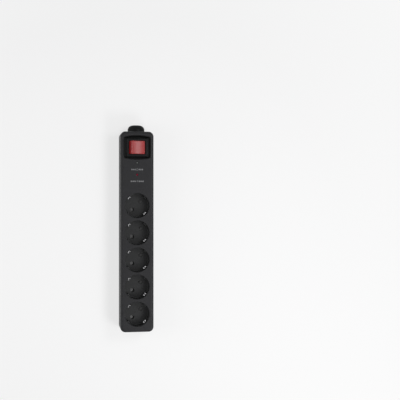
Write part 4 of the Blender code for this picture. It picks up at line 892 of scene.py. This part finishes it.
PICTURE = 400
FOCAL = 817
ANCHOR_PIXEL = (137.2, 232.8)
ANCHOR_DEPTH = 1.3
VIEW_ANGLE = -5.0
SENSOR = 36.0
WORLD_COLOUR = (0.97, 0.98, 1.0, 1.0)
WORLD_STRENGTH = 0.2
WHITE = (1.0, 1.0, 1.0, 1.0)
FLOOR_COLOUR = (0.86, 0.86, 0.86, 1.0)
FLOOR_ROUGHNESS = 0.9
FLOOR_SIZE = 30.0
FLOOR_WHITE = 0.7
FADE_START = 0.35
FADE_END = 0.9
# Name, place, size and power of each soft light
LIGHTS = (
    ("upper_key", (0.38, 0.2, 0.72), (0.25, 0.25), 1.5),
    ("lower_key", (0.38, -0.42, 0.66), (0.25, 0.25), 2.8),
    ("sheen", (0.6, 0.05, 0.9), (0.9, 0.7), 1.2),
    ("left", (-0.9, 0.0, 0.45), (0.5, 0.8), 3.2),
)


def ray_share(tree):
    """One where the camera looks, directly or in a reflection or through glass."""
    path = tree.nodes.new("ShaderNodeLightPath")
    total = None
    for name in ("Is Camera Ray", "Is Glossy Ray", "Is Transmission Ray"):
        if total is None:
            total = path.outputs[name]
            continue
        larger = tree.nodes.new("ShaderNodeMath")
        larger.operation = "MAXIMUM"
        link(tree, total, larger.inputs[0])
        link(tree, path.outputs[name], larger.inputs[1])
        total = larger.outputs[0]
    return total


def build_world():
    """Dim even light, behind a background that shows white."""
    world = bpy.data.worlds.new("studio")
    bpy.context.scene.world = world
    world.use_nodes = True
    tree = world.node_tree
    lit = tree.nodes["Background"]
    lit.inputs["Color"].default_value = WORLD_COLOUR
    lit.inputs["Strength"].default_value = WORLD_STRENGTH
    white = tree.nodes.new("ShaderNodeBackground")
    white.inputs["Color"].default_value = WHITE
    mix = tree.nodes.new("ShaderNodeMixShader")
    link(tree, ray_share(tree), mix.inputs["Fac"])
    link(tree, lit.outputs[0], mix.inputs[1])
    link(tree, white.outputs[0], mix.inputs[2])
    link(tree, mix.outputs[0], tree.nodes["World Output"].inputs["Surface"])


def build_floor():
    """A pale floor that fades to white away from the strip and keeps its shadow."""
    mesh = bpy.data.meshes.new("floor")
    corners = [(x * FLOOR_SIZE, y * FLOOR_SIZE, 0) for x, y in ((-1, -1), (1, -1), (1, 1), (-1, 1))]
    mesh.from_pydata(corners, [], [range(len(corners))])
    floor = bpy.data.objects.new("floor", mesh)
    bpy.context.scene.collection.objects.link(floor)
    made = bpy.data.materials.new("floor_white")
    made.use_nodes = True
    tree = made.node_tree
    shader = tree.nodes["Principled BSDF"]
    shader.inputs["Base Color"].default_value = FLOOR_COLOUR
    shader.inputs["Roughness"].default_value = FLOOR_ROUGHNESS
    glow = tree.nodes.new("ShaderNodeEmission")
    away = tree.nodes.new("ShaderNodeVectorMath")
    away.operation = "LENGTH"
    link(tree, tree.nodes.new("ShaderNodeTexCoord").outputs["Object"], away.inputs[0])
    share = tree.nodes.new("ShaderNodeMath")
    share.operation = "MULTIPLY"
    fade = spread(tree, away.outputs["Value"], FLOOR_WHITE, 1.0, FADE_START, FADE_END)
    link(tree, fade, share.inputs[1])
    link(tree, ray_share(tree), share.inputs[0])
    mix = tree.nodes.new("ShaderNodeMixShader")
    link(tree, share.outputs[0], mix.inputs["Fac"])
    link(tree, shader.outputs[0], mix.inputs[1])
    link(tree, glow.outputs[0], mix.inputs[2])
    link(tree, mix.outputs[0], tree.nodes["Material Output"].inputs["Surface"])
    mesh.materials.append(made)


def soft_light(name, place, size, power):
    """A soft rectangular light that faces the strip."""
    data = bpy.data.lights.new(name, "AREA")
    data.shape = "RECTANGLE"
    data.size, data.size_y = size
    data.energy = power
    lamp = bpy.data.objects.new(name, data)
    bpy.context.scene.collection.objects.link(lamp)
    lamp.location = place
    lamp.rotation_euler = (-Vector(place)).to_track_quat("-Z", "Y").to_euler()


def build_camera():
    """A level camera that sees the strip upright, to the left of the picture's middle."""
    x, y = (ANCHOR_PIXEL[0] - PICTURE / 2) / FOCAL, (PICTURE / 2 - ANCHOR_PIXEL[1]) / FOCAL
    yaw = math.radians(VIEW_ANGLE) + math.atan(x)
    right = Vector((math.cos(yaw), 0, -math.sin(yaw)))
    up = Vector((0, 1, 0))
    back = right.cross(up)
    anchor = Vector((0, SOCKETS[1], FRONT))
    data = bpy.data.cameras.new("camera")
    data.sensor_width = SENSOR
    data.lens = FOCAL / PICTURE * SENSOR
    camera = bpy.data.objects.new("camera", data)
    bpy.context.scene.collection.objects.link(camera)
    turn = Matrix((right, up, back)).transposed().to_4x4()
    camera.matrix_world = Matrix.Translation(anchor - ANCHOR_DEPTH * (x * right + y * up - back)) @ turn
    bpy.context.scene.camera = camera


build_pieces()
build_world()
build_floor()
for light in LIGHTS:
    soft_light(*light)
build_camera()
bpy.context.scene.view_settings.view_transform = "Standard"
